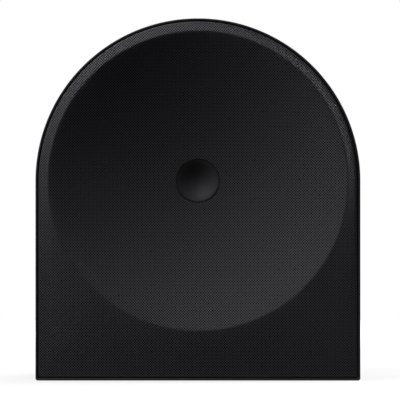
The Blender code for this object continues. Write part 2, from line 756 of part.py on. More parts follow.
def basket(carrier):
    """The pressed steel basket: flange, arms, spider landing and the can for the motor."""
    radii = [
        (MAGNET_BORE, SPIDER_SEAT + CAN_DEPTH),
        (CAN_RADIUS, SPIDER_SEAT + CAN_DEPTH),
        (CAN_RADIUS, SPIDER_SEAT),
        (SPIDER_RADIUS, SPIDER_SEAT),
        (BASKET_MOUTH - 2 * SHEET, 2 * SHEET),
        (BASKET_MOUTH - SHEET, 0),
        (FLANGE_RADIUS, 0),
    ]

    def keep(row, column):
        """Solid everywhere but between the arms."""
        return row != 3 or column % (FINE // BASKET_ARMS) < ARM_COLUMNS

    angles = [math.tau * i / FINE for i in range(FINE)]
    rings = [[(r * math.cos(a), y, r * math.sin(a)) for a in angles] for r, y in radii]
    frame = sheet_shell("woofer_basket", rings, keep, SHEET)
    holes = [(x, z - AXIS_HEIGHT) for x, z in WOOFER_SCREWS]
    bars = along_y(holes, -OVERCUT, 2 * SHEET, clear_of(SCREW_RADIUS, COARSE))
    tool = rods("basket_holes", bars, COARSE)
    tool.parent = carrier
    cut(frame, tool)
    return finish_part(frame, "black_steel", carrier)


def half_roll(inner, outer, height, base, steps):
    """Points over a half round roll from the outer radius to the inner one."""
    middle = (inner + outer) / 2
    reach = (outer - inner) / 2
    angles = [math.pi * i / steps for i in range(steps + 1)]
    return [(middle + reach * math.cos(a), base - height * math.sin(a)) for a in angles]


def surround(carrier):
    """The rubber half roll between the cone and the basket's flange."""
    back = -GAP
    front = back - SKIN
    height = ROLL_HEIGHT + front
    outer = WOOFER_SCREW_CIRCLE - SCREW_HEAD - GAP
    inner = CONE_RADIUS - CONE_EDGE
    top = half_roll(CONE_RADIUS, BASKET_MOUTH, height, front, CURVE_STEPS)
    under = half_roll(CONE_RADIUS + SKIN, BASKET_MOUTH - SKIN, height - SKIN, back, CURVE_STEPS)
    profile = [(outer, back), (outer, front)] + top
    profile += [(inner, front), (inner, back)] + under[::-1]
    return finish_part(turned("woofer_surround", profile, FINE), "rubber", carrier)


def cone_line(back):
    """The cone's front or back line, from its rim to its neck."""
    neck = COIL_RADIUS + GAP
    run = CONE_RADIUS - CONE_EDGE - neck
    line = [(CONE_RADIUS, back)]
    for i in range(FLARE_STEPS + 1):
        share = i / FLARE_STEPS
        bow = CONE_BOW * math.sin(math.pi * share)
        line.append((neck + run * (1 - share), share * (CONE_DEPTH - SKIN) + bow + back))
    return line


def cone(carrier):
    """The pressed cone with a flat rim under the surround."""
    profile = cone_line(0) + cone_line(SKIN)[::-1]
    return finish_part(turned("woofer_cone", profile, FINE), "paper_cone", carrier)


def cone_front(radius):
    """Depth of the cone's front face at a radius, between the points of its line."""
    line = cone_line(0)
    for (r0, y0), (r1, y1) in zip(line, line[1:]):
        if r1 <= radius <= r0:
            return y0 + (y1 - y0) * (r0 - radius) / (r0 - r1)
    return line[-1][1]


def dust_cap(carrier):
    """The dome over the coil, glued to the cone."""
    foot = cone_front(CAP_RADIUS) - GAP
    shares = [i / CURVE_STEPS for i in range(CURVE_STEPS + 1)]
    front = [(CAP_RADIUS * s, foot - SKIN - CAP_RISE * (1 - s * s)) for s in shares]
    under = [((CAP_RADIUS - SKIN) * s, foot - CAP_RISE * (1 - s * s)) for s in shares]
    cap = turned("woofer_dust_cap", front + under[::-1], MEDIUM)
    return finish_part(cap, "paper_cone", carrier)


def voice_coil(carrier):
    """The coil former with its winding in the magnet's gap."""
    inner = COIL_RADIUS - COIL_WALL
    wound = COIL_RADIUS + WINDING
    winding = COIL_END - WINDING_LENGTH
    profile = [(inner, COIL_TOP), (COIL_RADIUS, COIL_TOP), (COIL_RADIUS, winding)]
    profile += [(wound, winding), (wound, COIL_END), (inner, COIL_END)]
    return finish_part(turned("woofer_voice_coil", profile, MEDIUM), "copper", carrier)


def spider(carrier):
    """The corrugated cloth disc that centres the coil."""
    steps = 2 * SPIDER_WAVES
    start = COIL_RADIUS + GAP
    run = SPIDER_RADIUS - GAP - start
    base = SPIDER_SEAT - GAP - SKIN
    front = []
    for i in range(steps + 1):
        wave = SPIDER_WAVE * (1 - (-1) ** i) / 2 if 0 < i < steps - 1 else 0
        front.append((start + run * i / steps, base - wave))
    under = [(r, y + SKIN) for r, y in front]
    disc = turned("woofer_spider", front + under[::-1], MEDIUM)
    return finish_part(disc, "spider_cloth", carrier)


def motor(carrier):
    """The magnet system: top plate, ring magnet and yoke with a vented pole."""
    bore = COIL_RADIUS + WINDING + COIL_GAP
    pole = COIL_RADIUS - COIL_WALL - COIL_GAP
    ring = MAGNET_RADIUS - FRAME_THICKNESS

    def washer(name, inner, outer, start, thickness, finish):
        """A flat ring."""
        end = start + thickness
        profile = [(inner, start), (outer, start), (outer, end), (inner, end)]
        finish_part(turned(name, profile, FINE), finish, carrier)

    washer("woofer_top_plate", bore, ring, TOP_PLATE, PLATE_THICKNESS, "plated_steel")
    washer("woofer_magnet", MAGNET_BORE, MAGNET_RADIUS, MAGNET, MAGNET_THICKNESS, "ferrite")
    back = YOKE + PLATE_THICKNESS
    yoke = [(POLE_VENT, TOP_PLATE), (pole, TOP_PLATE), (pole, YOKE), (ring, YOKE)]
    yoke += [(ring, back - SHEET), (ring - SHEET, back), (POLE_VENT, back)]
    finish_part(turned("woofer_yoke", yoke, FINE), "plated_steel", carrier)


def terminal(carrier):
    """The tag strip under the basket's can, with its two tags."""
    width, depth, height = TERMINAL
    y = TERMINAL_DEPTH
    top = -(CAN_RADIUS + SHEET + GAP)
    specs = [((0, y, top - height / 2), (width, depth, height))]
    strip = blocks("woofer_terminal", specs)
    tags = blocks("terminal_tags", [
        ((side * width / 4, y, top - height), (SHEET, depth / 2, 2 * height)) for side in (-1, 1)
    ])
    tags.parent = carrier
    join(strip, tags)
    return finish_part(strip, "inner_plastic", carrier)


def woofer():
    """The long-throw driver on the arch's axis."""
    carrier = empty("woofer_axis", (0, FLANGE_Y, AXIS_HEIGHT))
    for build in (basket, surround, cone, dust_cap, voice_coil, spider, motor, terminal):
        build(carrier)
    start = SHEET + GAP
    inner = BASKET_MOUTH + GAP
    outer = WOOFER_SCREW_CIRCLE - SCREW_RADIUS - GAP
    profile = [(inner, start), (outer, start), (outer, start + DRIVER_SEAL)]
    profile.append((inner, start + DRIVER_SEAL))
    finish_part(turned("woofer_seal", profile, FINE), "foam", carrier)


def horn_line(offset):
    """The horn's flare from throat to mouth, moved outwards by a wall."""
    throat = DOME_RADIUS + THROAT_GAP
    shares = [i / FLARE_STEPS for i in range(FLARE_STEPS + 1)]
    flare = MOUTH_RADIUS - HORN_WALL - throat
    run = MOUTH_Y - FOOT_Y
    return [(throat + offset + flare * s * s, FOOT_Y + run * s) for s in shares]


def tweeter(side_name, side):
    """A dome tweeter in its horn, standing on the baffle."""
    carrier = empty(f"tweeter_axis_{side_name}", (side * TWEETER_X, 0, AXIS_HEIGHT))
    outer = [point for point in horn_line(HORN_WALL) if point[1] < FOOT_Y - HORN_WALL]
    profile = horn_line(0) + outer[::-1]
    profile += [(HORN_FOOT, FOOT_Y - HORN_WALL), (HORN_FOOT, FOOT_Y)]
    finish_part(turned(f"tweeter_horn_{side_name}", profile, MEDIUM), "inner_plastic", carrier)
    skirt = DOME_RADIUS - DOME_SKIN
    foot = FOOT_Y - DOME_SKIN
    shares = [i / FLARE_STEPS for i in range(FLARE_STEPS + 1)]
    crown = [(DOME_RADIUS * s, foot - DOME_RISE * (1 - s * s)) for s in shares]
    under = [(skirt * s, foot + DOME_SKIN - DOME_RISE * (1 - s * s)) for s in shares]
    rim = [(DOME_RADIUS, FOOT_Y + FORMER_LENGTH), (skirt, FOOT_Y + FORMER_LENGTH)]
    dome = turned(f"tweeter_dome_{side_name}", crown + rim + under[::-1], MEDIUM)
    finish_part(dome, "black_cloth", carrier)
    front = FOOT_Y + GAP
    slot_in = skirt - THROAT_GAP
    slot_out = DOME_RADIUS + THROAT_GAP
    slot = FOOT_Y + FORMER_LENGTH + 4 * DOME_STROKE
    back = front + MOTOR_DEPTH
    profile = [(0, front), (slot_in, front), (slot_in, slot), (slot_out, slot)]
    profile += [(slot_out, front), (MOTOR_RADIUS, front), (MOTOR_RADIUS, back), (0, back)]
    finish_part(turned(f"tweeter_motor_{side_name}", profile, MEDIUM), "plated_steel", carrier)


def bass_port():
    """The flared duct, held behind the rear cover by its flange."""
    mouth = PORT_BORE + PORT_FLARE
    back = BACK_Y - GAP
    turns = [math.pi / 2 * i / CURVE_STEPS for i in range(CURVE_STEPS + 1)]
    bell = [(mouth - PORT_FLARE * math.sin(a), back - PORT_FLARE * (1 - math.cos(a))) for a in turns]
    end = back - PORT_LENGTH
    inlet = [(PORT_BORE, end + PORT_FLARE / 2), (PORT_BORE + PORT_FLARE / 2, end)]
    tube = PORT_BORE + PORT_WALL
    flange = COVER_INSIDE_Y - GAP
    outer = [
        (tube + PORT_FLARE / 2, end),
        (tube, end + PORT_FLARE / 2),
        (tube, flange - PORT_FLARE),
        (mouth, flange - PORT_WALL),
        (mouth + PORT_FLANGE, flange - PORT_WALL),
        (mouth + PORT_FLANGE, flange),
        (mouth, flange),
    ]
    duct = turned("bass_port", bell + inlet + outer, MEDIUM)
    return finish_part(duct, "inner_plastic", empty("port_axis", (0, 0, PORT_HEIGHT)))


def buttons():
    """The push buttons of the rear cover, each with a brim inside and a plunger."""
    brim = COVER_INSIDE_Y - GAP
    tip = BOARD_BACK_Y + TACT_HEIGHT + BUTTON_TRAVEL + BUTTON_SLACK
    crown = BUTTON_PROUD / 2
    plunger = BUTTON_RADIUS / 2
    for name, (x, z) in BUTTON_PLACES.items():
        profile = [
            (0, BACK_Y + BUTTON_PROUD),
            (BUTTON_RADIUS - crown, BACK_Y + BUTTON_PROUD),
            (BUTTON_RADIUS, BACK_Y + crown),
            (BUTTON_RADIUS, brim),
            (BUTTON_RADIUS + BUTTON_BRIM, brim),
            (BUTTON_RADIUS + BUTTON_BRIM, brim - BRIM_THICKNESS),
            (plunger, brim - BRIM_THICKNESS),
            (plunger, tip),
            (0, tip),
        ]
        key = turned(f"button_{name}", profile, MEDIUM)
        finish_part(key, "rubber", empty(f"button_axis_{name}", (x, 0, z)))


def microphone_switch():
    """The slide switch's knob, at the left end of its slot, with a brim inside."""
    width, height = SWITCH_KNOB
    x = SWITCH_PLACE[0] - SWITCH_TRAVEL / 2
    z = SWITCH_PLACE[1]
    back = BACK_Y + BUTTON_PROUD / 2
    brim = COVER_INSIDE_Y - GAP
    front = brim - BRIM_THICKNESS
    knob = blocks("microphone_switch", [((x, (front + back) / 2, z), (width, back - front, height))])
    spread = 2 * BUTTON_BRIM + SWITCH_TRAVEL
    size = (width + spread, BRIM_THICKNESS, height + 2 * BUTTON_BRIM)
    middle = (x, brim - BRIM_THICKNESS / 2, z)
    join(knob, blocks("switch_brim", [(middle, size)]))
    return finish_part(knob, "rubber")


def control_board():
    """The board behind the buttons, with a tact switch under each."""
    width, height = CONTROL_BOARD
    x, z = CONTROL_BOARD_PLACE
    middle = (BOARD_FRONT_Y + BOARD_BACK_Y) / 2
    board = blocks("control_board", [((x, middle, z), (width, BOARD, height))])
    y = BOARD_BACK_Y + (TACT_HEIGHT - BOARD / 2) / 2
    size = (TACT_SIZE, TACT_HEIGHT + BOARD / 2, TACT_SIZE)
    places = [((x, y, z), size) for x, z in BUTTON_PLACES.values()]
    join(board, blocks("tact_switches", places))
    return finish_part(board, "circuit_board")


def main_board():
    """The amplifier and radio board on the rear cover, with its heat sink."""
    width, height = MAIN_BOARD
    x, z = MAIN_BOARD_PLACE
    middle = (BOARD_FRONT_Y + BOARD_BACK_Y) / 2
    finish_part(blocks("main_board", [((x, middle, z), (width, BOARD, height))]), "circuit_board")
    foot = BOARD_FRONT_Y - GAP
    base = foot - SINK_BASE
    left = x - SINK_SIZE / 2
    pitch = (SINK_SIZE - SINK_FIN) / (SINK_FINS - 1)
    comb = [(left + SINK_SIZE, foot), (left, foot)]
    for i in range(SINK_FINS):
        fin = left + pitch * i
        comb += [(fin, base), (fin, foot - SINK_HEIGHT)]
        comb += [(fin + SINK_FIN, foot - SINK_HEIGHT), (fin + SINK_FIN, base)]
    comb = comb[:2] + comb[3:-1]
    low = z - SINK_SIZE / 2
    sink = plate("amplifier_heat_sink", [comb], low, low + SINK_SIZE, upright=False)
    finish_part(sink, "aluminium")


def power_board():
    """The supply board on the housing's floor, with its transformer and reservoir capacitor."""
    width, depth = POWER_BOARD
    centre = (POWER_BOARD_X, POWER_BOARD_Y, POWER_BOARD_Z + BOARD / 2)
    finish_part(blocks("power_board", [(centre, (width, depth, BOARD))]), "circuit_board")
    foot = POWER_TOP_Z + GAP
    x = POWER_BOARD_X - width / 4
    core = ((x, POWER_BOARD_Y, foot + CORE_SIZE[2] / 2), CORE_SIZE)
    bobbin = ((x, POWER_BOARD_Y, foot + CORE_SIZE[2] / 2), BOBBIN_SIZE)
    transformer = blocks("power_transformer", [core])
    join(transformer, blocks("transformer_winding", [bobbin]))
    finish_part(transformer, "ferrite")
    place = (POWER_BOARD_X + width / 4, POWER_BOARD_Y, foot + CAPACITOR_RADIUS)
    half = CAPACITOR_LENGTH / 2
    neck = CAPACITOR_RADIUS - SHEET / 2
    profile = [(0, -half), (CAPACITOR_RADIUS, -half), (CAPACITOR_RADIUS, half - 3 * SHEET)]
    profile += [(neck, half - 2 * SHEET), (CAPACITOR_RADIUS, half - SHEET)]
    profile += [(CAPACITOR_RADIUS, half), (0, half)]
    can = turned("reservoir_capacitor", profile, MEDIUM)
    finish_part(can, "sleeve_film", empty("capacitor_axis", place))


def wifi_antenna():
    """The flat antenna on the housing's left side wall."""
    thick, depth, height = ANTENNA_SIZE
    x = WALL + GAP + thick / 2 - HALF
    centre = (x, POWER_BOARD_Y, ANTENNA_HEIGHT)
    return finish_part(blocks("wifi_antenna", [(centre, (thick, depth, height))]), "circuit_board")


def inlet_outline(wall):
    """The socket's outline with flat sides and round ends, moved outwards by a wall."""
    width, height = INLET_SOCKET
    radius = height / 2 + wall
    return rounded_box(*INLET_PLACE, width + 2 * wall, height + 2 * wall, radius - GAP, CORNER_STEPS)


def mains_inlet():
    """The two-pin inlet, held behind the rear cover by its brim, and its pins."""
    face = BACK_Y - GAP
    shell = plate("mains_inlet", [inlet_outline(INLET_WALL)], INLET_BACK_Y, face)
    brim = COVER_INSIDE_Y - GAP
    flange = plate("inlet_brim", [inlet_outline(INLET_WALL + INLET_BRIM)], brim - INLET_WALL, brim)
    join(shell, flange)
    floor = INLET_BACK_Y + INLET_WALL
    cut(shell, plate("inlet_socket", [inlet_outline(0)], floor, face + OVERCUT))
    x, z = INLET_PLACE
    places = [(x + side * PIN_SPACING / 2, z) for side in (-1, 1)]
    holes = along_y(places, INLET_BACK_Y - OVERCUT, floor + GAP, clear_of(PIN_RADIUS, COARSE))
    cut(shell, rods("inlet_pin_holes", holes, COARSE))
    finish_part(shell, "socket_plastic")
    tail = INLET_BACK_Y - PIN_TAIL
    for name, place in zip(("left", "right"), places):
        bars = along_y([place], tail, face - PIN_RECESS, PIN_RADIUS)
        finish_part(rods(f"inlet_pin_{name}", bars, COARSE), "brass")


def smooth_route(points):
    """Straight ends, with one smooth curve between them through a lead's own points."""
    knots = [Vector(point) for point in points]
    spans = len(knots) - 3
    route = [knots[0]]
    for i in range(LEAD_POINTS + 1):
        k = min(i * spans // LEAD_POINTS, spans - 1)
        t = i * spans / LEAD_POINTS - k
        a, b, c, d = knots[k:k + 4]
        bend = 2 * a - 5 * b + 4 * c - d + (3 * b - a - 3 * c + d) * t
        route.append(b + ((c - a) + bend * t) * t / 2)
    return route + [knots[-1]]


def lead(name, points):
    """A lead clipped inside the cabinet."""
    curve = bpy.data.curves.new(name, "CURVE")
    curve.dimensions = "3D"
    curve.bevel_depth = LEAD_RADIUS
    curve.bevel_resolution = 1
    curve.use_fill_caps = True
    spline = curve.splines.new("POLY")
    route = smooth_route(points)
    spline.points.add(len(route) - 1)
    for point, place in zip(spline.points, route):
        point.co = (*place, 1)
    return finish_part(bpy.data.objects.new(name, curve), "lead_jacket")


def leads():
    """The leads between the boards, the drivers and the inlet."""
    board_x, board_z = MAIN_BOARD_PLACE
    top = board_z + MAIN_BOARD[1] / 2 - 2 * STANDOFF_RADIUS
    face = BOARD_FRONT_Y - GAP
    tag_z = AXIS_HEIGHT - CAN_RADIUS - SHEET - 2 * GAP - 2 * TERMINAL[2]
    tag_y = FLANGE_Y + TERMINAL_DEPTH
    tag_x = TERMINAL[0] / 4
    plug = board_x + WOOFER_PLUG
    lead("woofer_lead", [
        (plug, face, top), (plug, face - LEAD_STANDOFF, top),
        (*WOOFER_BEND, top + LEAD_LIFT), (LEAD_NEAR, tag_y, tag_z - LEAD_DROP), (tag_x, tag_y, tag_z),
    ])
    motor_y = FOOT_Y + 2 * GAP + MOTOR_DEPTH
    plug = board_x + RIGHT_PLUG
    lead("tweeter_lead_right", [
        (plug, face, top), (plug, face - LEAD_STANDOFF, top),
        (TWEETER_X + LEAD_STANDOFF, RIGHT_BEND[0], AXIS_HEIGHT - RIGHT_BEND[1]),
        (TWEETER_X, motor_y + RIGHT_TAIL, AXIS_HEIGHT), (TWEETER_X, motor_y, AXIS_HEIGHT),
    ])
    plug = board_x + LEFT_PLUG
    lead("tweeter_lead_left", [
        (plug, face, top), (plug, face - LEAD_NEAR, top), (0, LEFT_RISE, top + LEAD_STANDOFF),
        (-LEFT_BEND[0], LEFT_BEND[1], AXIS_HEIGHT - LEFT_BEND[2]),
        (-TWEETER_X, motor_y + LEFT_TAIL, AXIS_HEIGHT), (-TWEETER_X, motor_y, AXIS_HEIGHT),
    ])
    inlet_x, inlet_z = INLET_PLACE
    pin_y = INLET_BACK_Y - PIN_TAIL - GAP
    pin_x = inlet_x + PIN_SPACING / 2
    mains_x, mains_y = inlet_x + LEAD_NEAR, POWER_BOARD_Y + LEAD_STANDOFF
    lead("mains_lead", [
        (pin_x, pin_y, inlet_z), (pin_x, pin_y - LEAD_LIFT, inlet_z),
        (mains_x, mains_y, POWER_TOP_Z + LEAD_DROP), (mains_x, mains_y, POWER_TOP_Z + GAP),
    ])
    supply_x = POWER_BOARD_X + SUPPLY_SIDE
    plug_x, plug_z = board_x + SUPPLY_PLUG[0], board_z + SUPPLY_PLUG[1]
    lead("supply_lead", [
        (supply_x, POWER_BOARD_Y, POWER_TOP_Z + GAP),
        (supply_x, POWER_BOARD_Y, POWER_TOP_Z + LEAD_DROP),
        (0, POWER_BOARD_Y + LEAD_LIFT, POWER_TOP_Z + LEAD_NEAR),
        (plug_x, face - LEAD_STANDOFF, plug_z), (plug_x, face, plug_z),
    ])


def screw(name, x, z, seat, bite, way):
    """A pan head screw along Y, with its head outside the seat."""
    head = seat + way * (GAP + SCREW_HEAD_HEIGHT)
    under = seat + way * GAP
    tip = seat - way * bite
    profile = [
        (0, head), (SCREW_HEAD, head), (SCREW_HEAD, under),
        (SCREW_RADIUS, under), (SCREW_RADIUS, tip), (0, tip),
    ]
    finish_part(turned(name, profile, COARSE), "black_steel", empty(f"{name}_axis", (x, 0, z)))


def screws():
    """The screws of the rear cover, the baffle and the woofer."""
    seat = HOUSING_BACK_Y + GAP + PILLAR_FLOOR
    for i, (x, z) in enumerate(REAR_SCREWS, 1):
        screw(f"rear_screw_{i}", x, z, seat, PILLAR_FLOOR + SCREW_BITE, 1)
    bite = LEDGE_Y - BAFFLE_Y + SCREW_BITE
    for i, (x, z) in enumerate(BAFFLE_SCREWS, 1):
        screw(f"baffle_screw_{i}", x, z, BAFFLE_Y, bite, -1)
    for i, (x, z) in enumerate(WOOFER_SCREWS, 1):
        screw(f"woofer_screw_{i}", x, z, FLANGE_Y, BAFFLE_Y - FLANGE_Y + SCREW_BITE, -1)


def main():
    """Build the loudspeaker from the outside in."""
    for build in (
        housing, base_pad, rear_cover, seals, front_baffle, grille_mesh, grille_frame, centre_cup,
        woofer, bass_port, buttons, microphone_switch, control_board, main_board, power_board,
        wifi_antenna, mains_inlet, leads, screws,
    ):
        build()
    tweeter("left", -1)
    tweeter("right", 1)
    bpy.context.view_layer.update()


main()
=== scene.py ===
"""Looks of an arch-fronted wireless loudspeaker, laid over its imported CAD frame.

Lengths are metres, +Z is up and the front faces -Y, as in the frame. Every sub-assembly
is a class that works out its surfaces with numpy and dresses them, and every finish is
a procedural material that draws on a few shared node groups.
"""

import logging
import math
from collections.abc import Sequence
from dataclasses import dataclass, field
from enum import Enum

import bpy
import numpy as np
from mathutils import Matrix, Vector
from mathutils.geometry import tessellate_polygon


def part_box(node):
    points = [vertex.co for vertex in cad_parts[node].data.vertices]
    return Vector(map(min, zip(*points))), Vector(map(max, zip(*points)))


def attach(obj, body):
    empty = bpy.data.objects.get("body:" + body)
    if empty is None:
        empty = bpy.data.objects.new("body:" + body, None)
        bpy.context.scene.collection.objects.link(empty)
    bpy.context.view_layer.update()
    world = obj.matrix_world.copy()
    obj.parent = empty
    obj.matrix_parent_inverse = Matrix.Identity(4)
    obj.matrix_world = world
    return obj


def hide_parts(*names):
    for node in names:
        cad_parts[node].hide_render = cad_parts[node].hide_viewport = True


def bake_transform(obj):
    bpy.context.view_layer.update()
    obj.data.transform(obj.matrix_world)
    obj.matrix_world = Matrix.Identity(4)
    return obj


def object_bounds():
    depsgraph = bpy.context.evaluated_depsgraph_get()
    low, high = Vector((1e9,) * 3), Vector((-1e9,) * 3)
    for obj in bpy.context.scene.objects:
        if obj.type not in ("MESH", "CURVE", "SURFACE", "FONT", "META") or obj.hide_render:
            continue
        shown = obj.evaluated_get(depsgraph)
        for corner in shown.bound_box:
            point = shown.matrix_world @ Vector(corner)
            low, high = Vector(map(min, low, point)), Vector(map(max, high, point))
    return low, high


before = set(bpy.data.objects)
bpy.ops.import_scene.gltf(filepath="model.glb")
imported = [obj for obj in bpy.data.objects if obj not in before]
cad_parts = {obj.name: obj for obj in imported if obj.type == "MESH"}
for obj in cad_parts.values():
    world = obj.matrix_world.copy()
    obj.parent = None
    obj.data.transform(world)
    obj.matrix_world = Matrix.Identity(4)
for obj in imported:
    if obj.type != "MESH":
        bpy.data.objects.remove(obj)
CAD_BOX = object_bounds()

Array = np.ndarray
Pair = tuple[float, float]
Triple = tuple[float, float, float]
Socket = bpy.types.NodeSocket

LOG = logging.getLogger("loudspeaker")
ROOT = "cabinet"
WELD = 1e-7
LEAST_AREA = 1e-11
UV_NAME = "OFBake"


# The frame's boxes


def depths(node: str) -> Pair:
    """Returns the least and the greatest Y of a CAD node."""
    low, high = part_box(node)
    return low[1], high[1]


def spot(node: str) -> Pair:
    """Returns X and Z of the middle of a CAD node's box."""
    low, high = (Vector(corner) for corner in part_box(node))
    return ((low + high) / 2).xz[:]


# Meshes from arrays


def unit(steps: int, full: bool = False) -> Array:
    """Returns even steps from 0 towards 1, with 1 itself only where full is set."""
    return np.linspace(0.0, 1.0, steps, endpoint=full)


def stacked(*parts: Array | float) -> Array:
    """Spreads values to a common shape and stacks them along a new last axis."""
    return np.stack(np.broadcast_arrays(*parts), axis=-1)


def rounded(radius: float, steps: int) -> Array:
    """Quarter round from a flat face over an edge.

    Args:
        radius: Radius of the round.
        steps: Number of facets.

    Returns:
        (steps + 1, 2) pairs: how far the point still is from the outer wall, and how
        far it has dropped from the face: r(1 - sin a) and r(1 - cos a).
    """
    angle = unit(steps + 1, True) * np.pi / 2
    return radius * stacked(1 - np.sin(angle), 1 - np.cos(angle))


@dataclass
class Skin:
    """Points and faces that are gathered for one piece before they become a mesh."""

    points: list[Array] = field(default_factory=list)
    faces: list[Array] = field(default_factory=list)

    def add(self, grid: Array) -> Array:
        """Stores points.

        Args:
            grid: Array of any shape (..., 3).

        Returns:
            The points' numbers in the same shape (...).
        """
        start = sum(len(part) for part in self.points)
        flat = np.asarray(grid, float).reshape(-1, 3)
        self.points.append(flat)
        return np.arange(start, start + len(flat)).reshape(grid.shape[:-1])

    def cover(self, ids: Array, ring: bool = True, close: bool = False) -> None:
        """Lays quads between neighbouring rows and columns of a grid of point numbers.

        Args:
            ids: (rows, columns) point numbers.
            ring: Whether the last column joins the first.
            close: Whether the last row joins the first.
        """
        if ring:
            ids = np.concatenate([ids, ids[:, :1]], axis=1)
        if close:
            ids = np.concatenate([ids, ids[:1]], axis=0)
        corners = (ids[:-1, :-1], ids[:-1, 1:], ids[1:, 1:], ids[1:, :-1])
        self.faces.append(stacked(*corners).reshape(-1, 4))

    def sheet(self, grid: Array, ring: bool = True, close: bool = False) -> Array:
        """Stores a grid of points, covers it with quads and returns the numbers."""
        ids = self.add(grid)
        self.cover(ids, ring, close)
        return ids

    def triangles(self, corners: Array) -> None:
        """Adds (n, 3) triangles, kept as quads whose last corner is doubled."""
        self.faces.append(np.concatenate([corners, corners[:, 2:]], axis=1))

    def fan(self, loop: Array) -> None:
        """Fills a convex loop of point numbers with triangles from its first point."""
        self.triangles(stacked(loop[0], loop[1:-1], loop[2:]))

    def cap(self, loops: Sequence[Array], towards: float) -> None:
        """Fills a flat area square to Y between an outer loop and the loops inside it.

        Args:
            loops: Point numbers of each loop, the outer one first.
            towards: +1 or -1, the way along Y that the face looks.
        """
        cloud = np.concatenate(self.points)
        order = np.concatenate(loops)
        flat = [[Vector((x, z, 0.0)) for x, z in cloud[loop][:, [0, 2]]] for loop in loops]
        corners = order[np.array(tessellate_polygon(flat), int)]
        a, b, c = (cloud[corners[:, k]][:, [0, 2]] for k in range(3))
        turn = (b - a)[:, 1] * (c - a)[:, 0] - (b - a)[:, 0] * (c - a)[:, 1]
        wrong = turn * towards < 0
        corners[wrong] = corners[wrong][:, ::-1]
        self.triangles(corners)

    @staticmethod
    def once(faces: Array) -> Array:
        """Returns the faces without those that have the same points as an earlier one."""
        _, first = np.unique(np.sort(faces, axis=1), axis=0, return_index=True)
        return faces[np.sort(first)]

    def merged(self, closed: bool) -> tuple[Array, Array, Array]:
        """Welds points that meet, and sorts faces into triangles and quads.

        A quad with a doubled corner is a triangle, and of faces with the same points the
        first stays. On a closed skin the sum of a.(b x c) over the triangles is six times
        its volume, and where that is below zero all faces are turned round.

        Args:
            closed: Whether the skin bounds a volume.

        Returns:
            Points, triangles and quads.
        """
        points, faces = np.concatenate(self.points), np.concatenate(self.faces)
        keys = np.round(points / WELD).astype(np.int64)
        _, first, back = np.unique(keys, axis=0, return_index=True, return_inverse=True)
        points, faces = points[first], back.reshape(-1)[faces]
        a, b, c, d = faces.T
        doubled = [a == b, b == c, c == d, d == a]
        rest = [np.stack(three) for three in ((b, c, d), (a, c, d), (a, b, d), (a, b, c))]
        triangles = np.select(doubled, rest, default=-1).T
        is_quad = ~np.any(doubled, axis=0)
        quads, triangles = faces[is_quad], triangles[~is_quad]
        p, q, r = (points[triangles[:, k]] for k in range(3))
        triangles = triangles[np.linalg.norm(np.cross(q - p, r - p), axis=1) > LEAST_AREA]
        triangles, quads = self.once(triangles), self.once(quads)
        if closed:
            solid = np.concatenate([triangles, quads[:, :3], quads[:, [0, 2, 3]]])
            p, q, r = (points[solid[:, k]] for k in range(3))
            if np.einsum("ij,ij->", p, np.cross(q, r)) < 0:
                triangles, quads = triangles[:, ::-1], quads[:, ::-1]
        return points, triangles, quads


@dataclass(frozen=True)
class Making:
    """How a skin becomes a finished object."""

    closed: bool = True
    smooth_angle: float | None = math.radians(32)
    even_faces: bool = False
    face_weight: int = 100
    front_uv: bool = False


EVEN = Making(even_faces=True)


def make_object(name: str, skin: Skin, how: Making = Making()) -> bpy.types.Object:
    """Turns a skin into an object at the origin.

    Args:
        name: The piece's name.
        skin: Its points and faces.
        how: Shading and UV choices.

    Returns:
        The new object, linked to the scene.
    """
    points, triangles, quads = skin.merged(how.closed)
    mesh = bpy.data.meshes.new(name)
    corners = np.concatenate([triangles.ravel(), quads.ravel()]).astype(np.int32)
    split = 3 * len(triangles)
    starts = np.concatenate([np.arange(len(triangles)) * 3, split + np.arange(len(quads)) * 4])
    mesh.vertices.add(len(points))
    mesh.vertices.foreach_set("co", points.astype(np.float32).ravel())
    mesh.loops.add(len(corners))
    mesh.loops.foreach_set("vertex_index", corners)
    mesh.polygons.add(len(starts))
    mesh.polygons.foreach_set("loop_start", starts.astype(np.int32))
    mesh.update(calc_edges=True)
    mesh.validate()
    if how.smooth_angle is not None:
        mesh.shade_smooth()
        mesh.set_sharp_from_angle(angle=how.smooth_angle)
    if how.front_uv:
        low, high = points.min(axis=0), points.max(axis=0)
        flat = ((points - low) / (high - low))[corners][:, [0, 2]]
        layer = mesh.uv_layers.new(name=UV_NAME)
        layer.data.foreach_set("uv", flat.astype(np.float32).ravel())
    made = bpy.data.objects.new(name, mesh)
    bpy.context.scene.collection.objects.link(made)
    if how.even_faces:
        level = made.modifiers.new("even_faces", "WEIGHTED_NORMAL")
        level.weight = how.face_weight
        level.keep_sharp = True
    return made


def wrapped(grid: Array, close: bool = False) -> Skin:
    """Returns a skin of one grid whose columns, and rows if close is set, run in a ring."""
    skin = Skin()
    skin.sheet(grid, True, close)
    return skin


def capped(grid: Array) -> Skin:
    """Returns a skin of stacked loops with flat ends, the first looking to +Y."""
    skin = Skin()
    ids = skin.sheet(grid)
    skin.cap([ids[0]], 1)
    skin.cap([ids[-1]], -1)
    return skin


def joined(skins: Sequence[Skin]) -> Skin:
    """Puts several skins into one."""
    whole = Skin()
    for skin in skins:
        start = sum(len(part) for part in whole.points)
        whole.points.append(np.concatenate(skin.points))
        whole.faces.append(np.concatenate(skin.faces) + start)
    return whole


def lifted(loops: Array, y: Sequence[float]) -> Array:
    """Gives (n, m, 2) loops the n values of Y and returns (n, m, 3) points."""
    return stacked(loops[..., 0], np.asarray(y)[:, None], loops[..., 1])


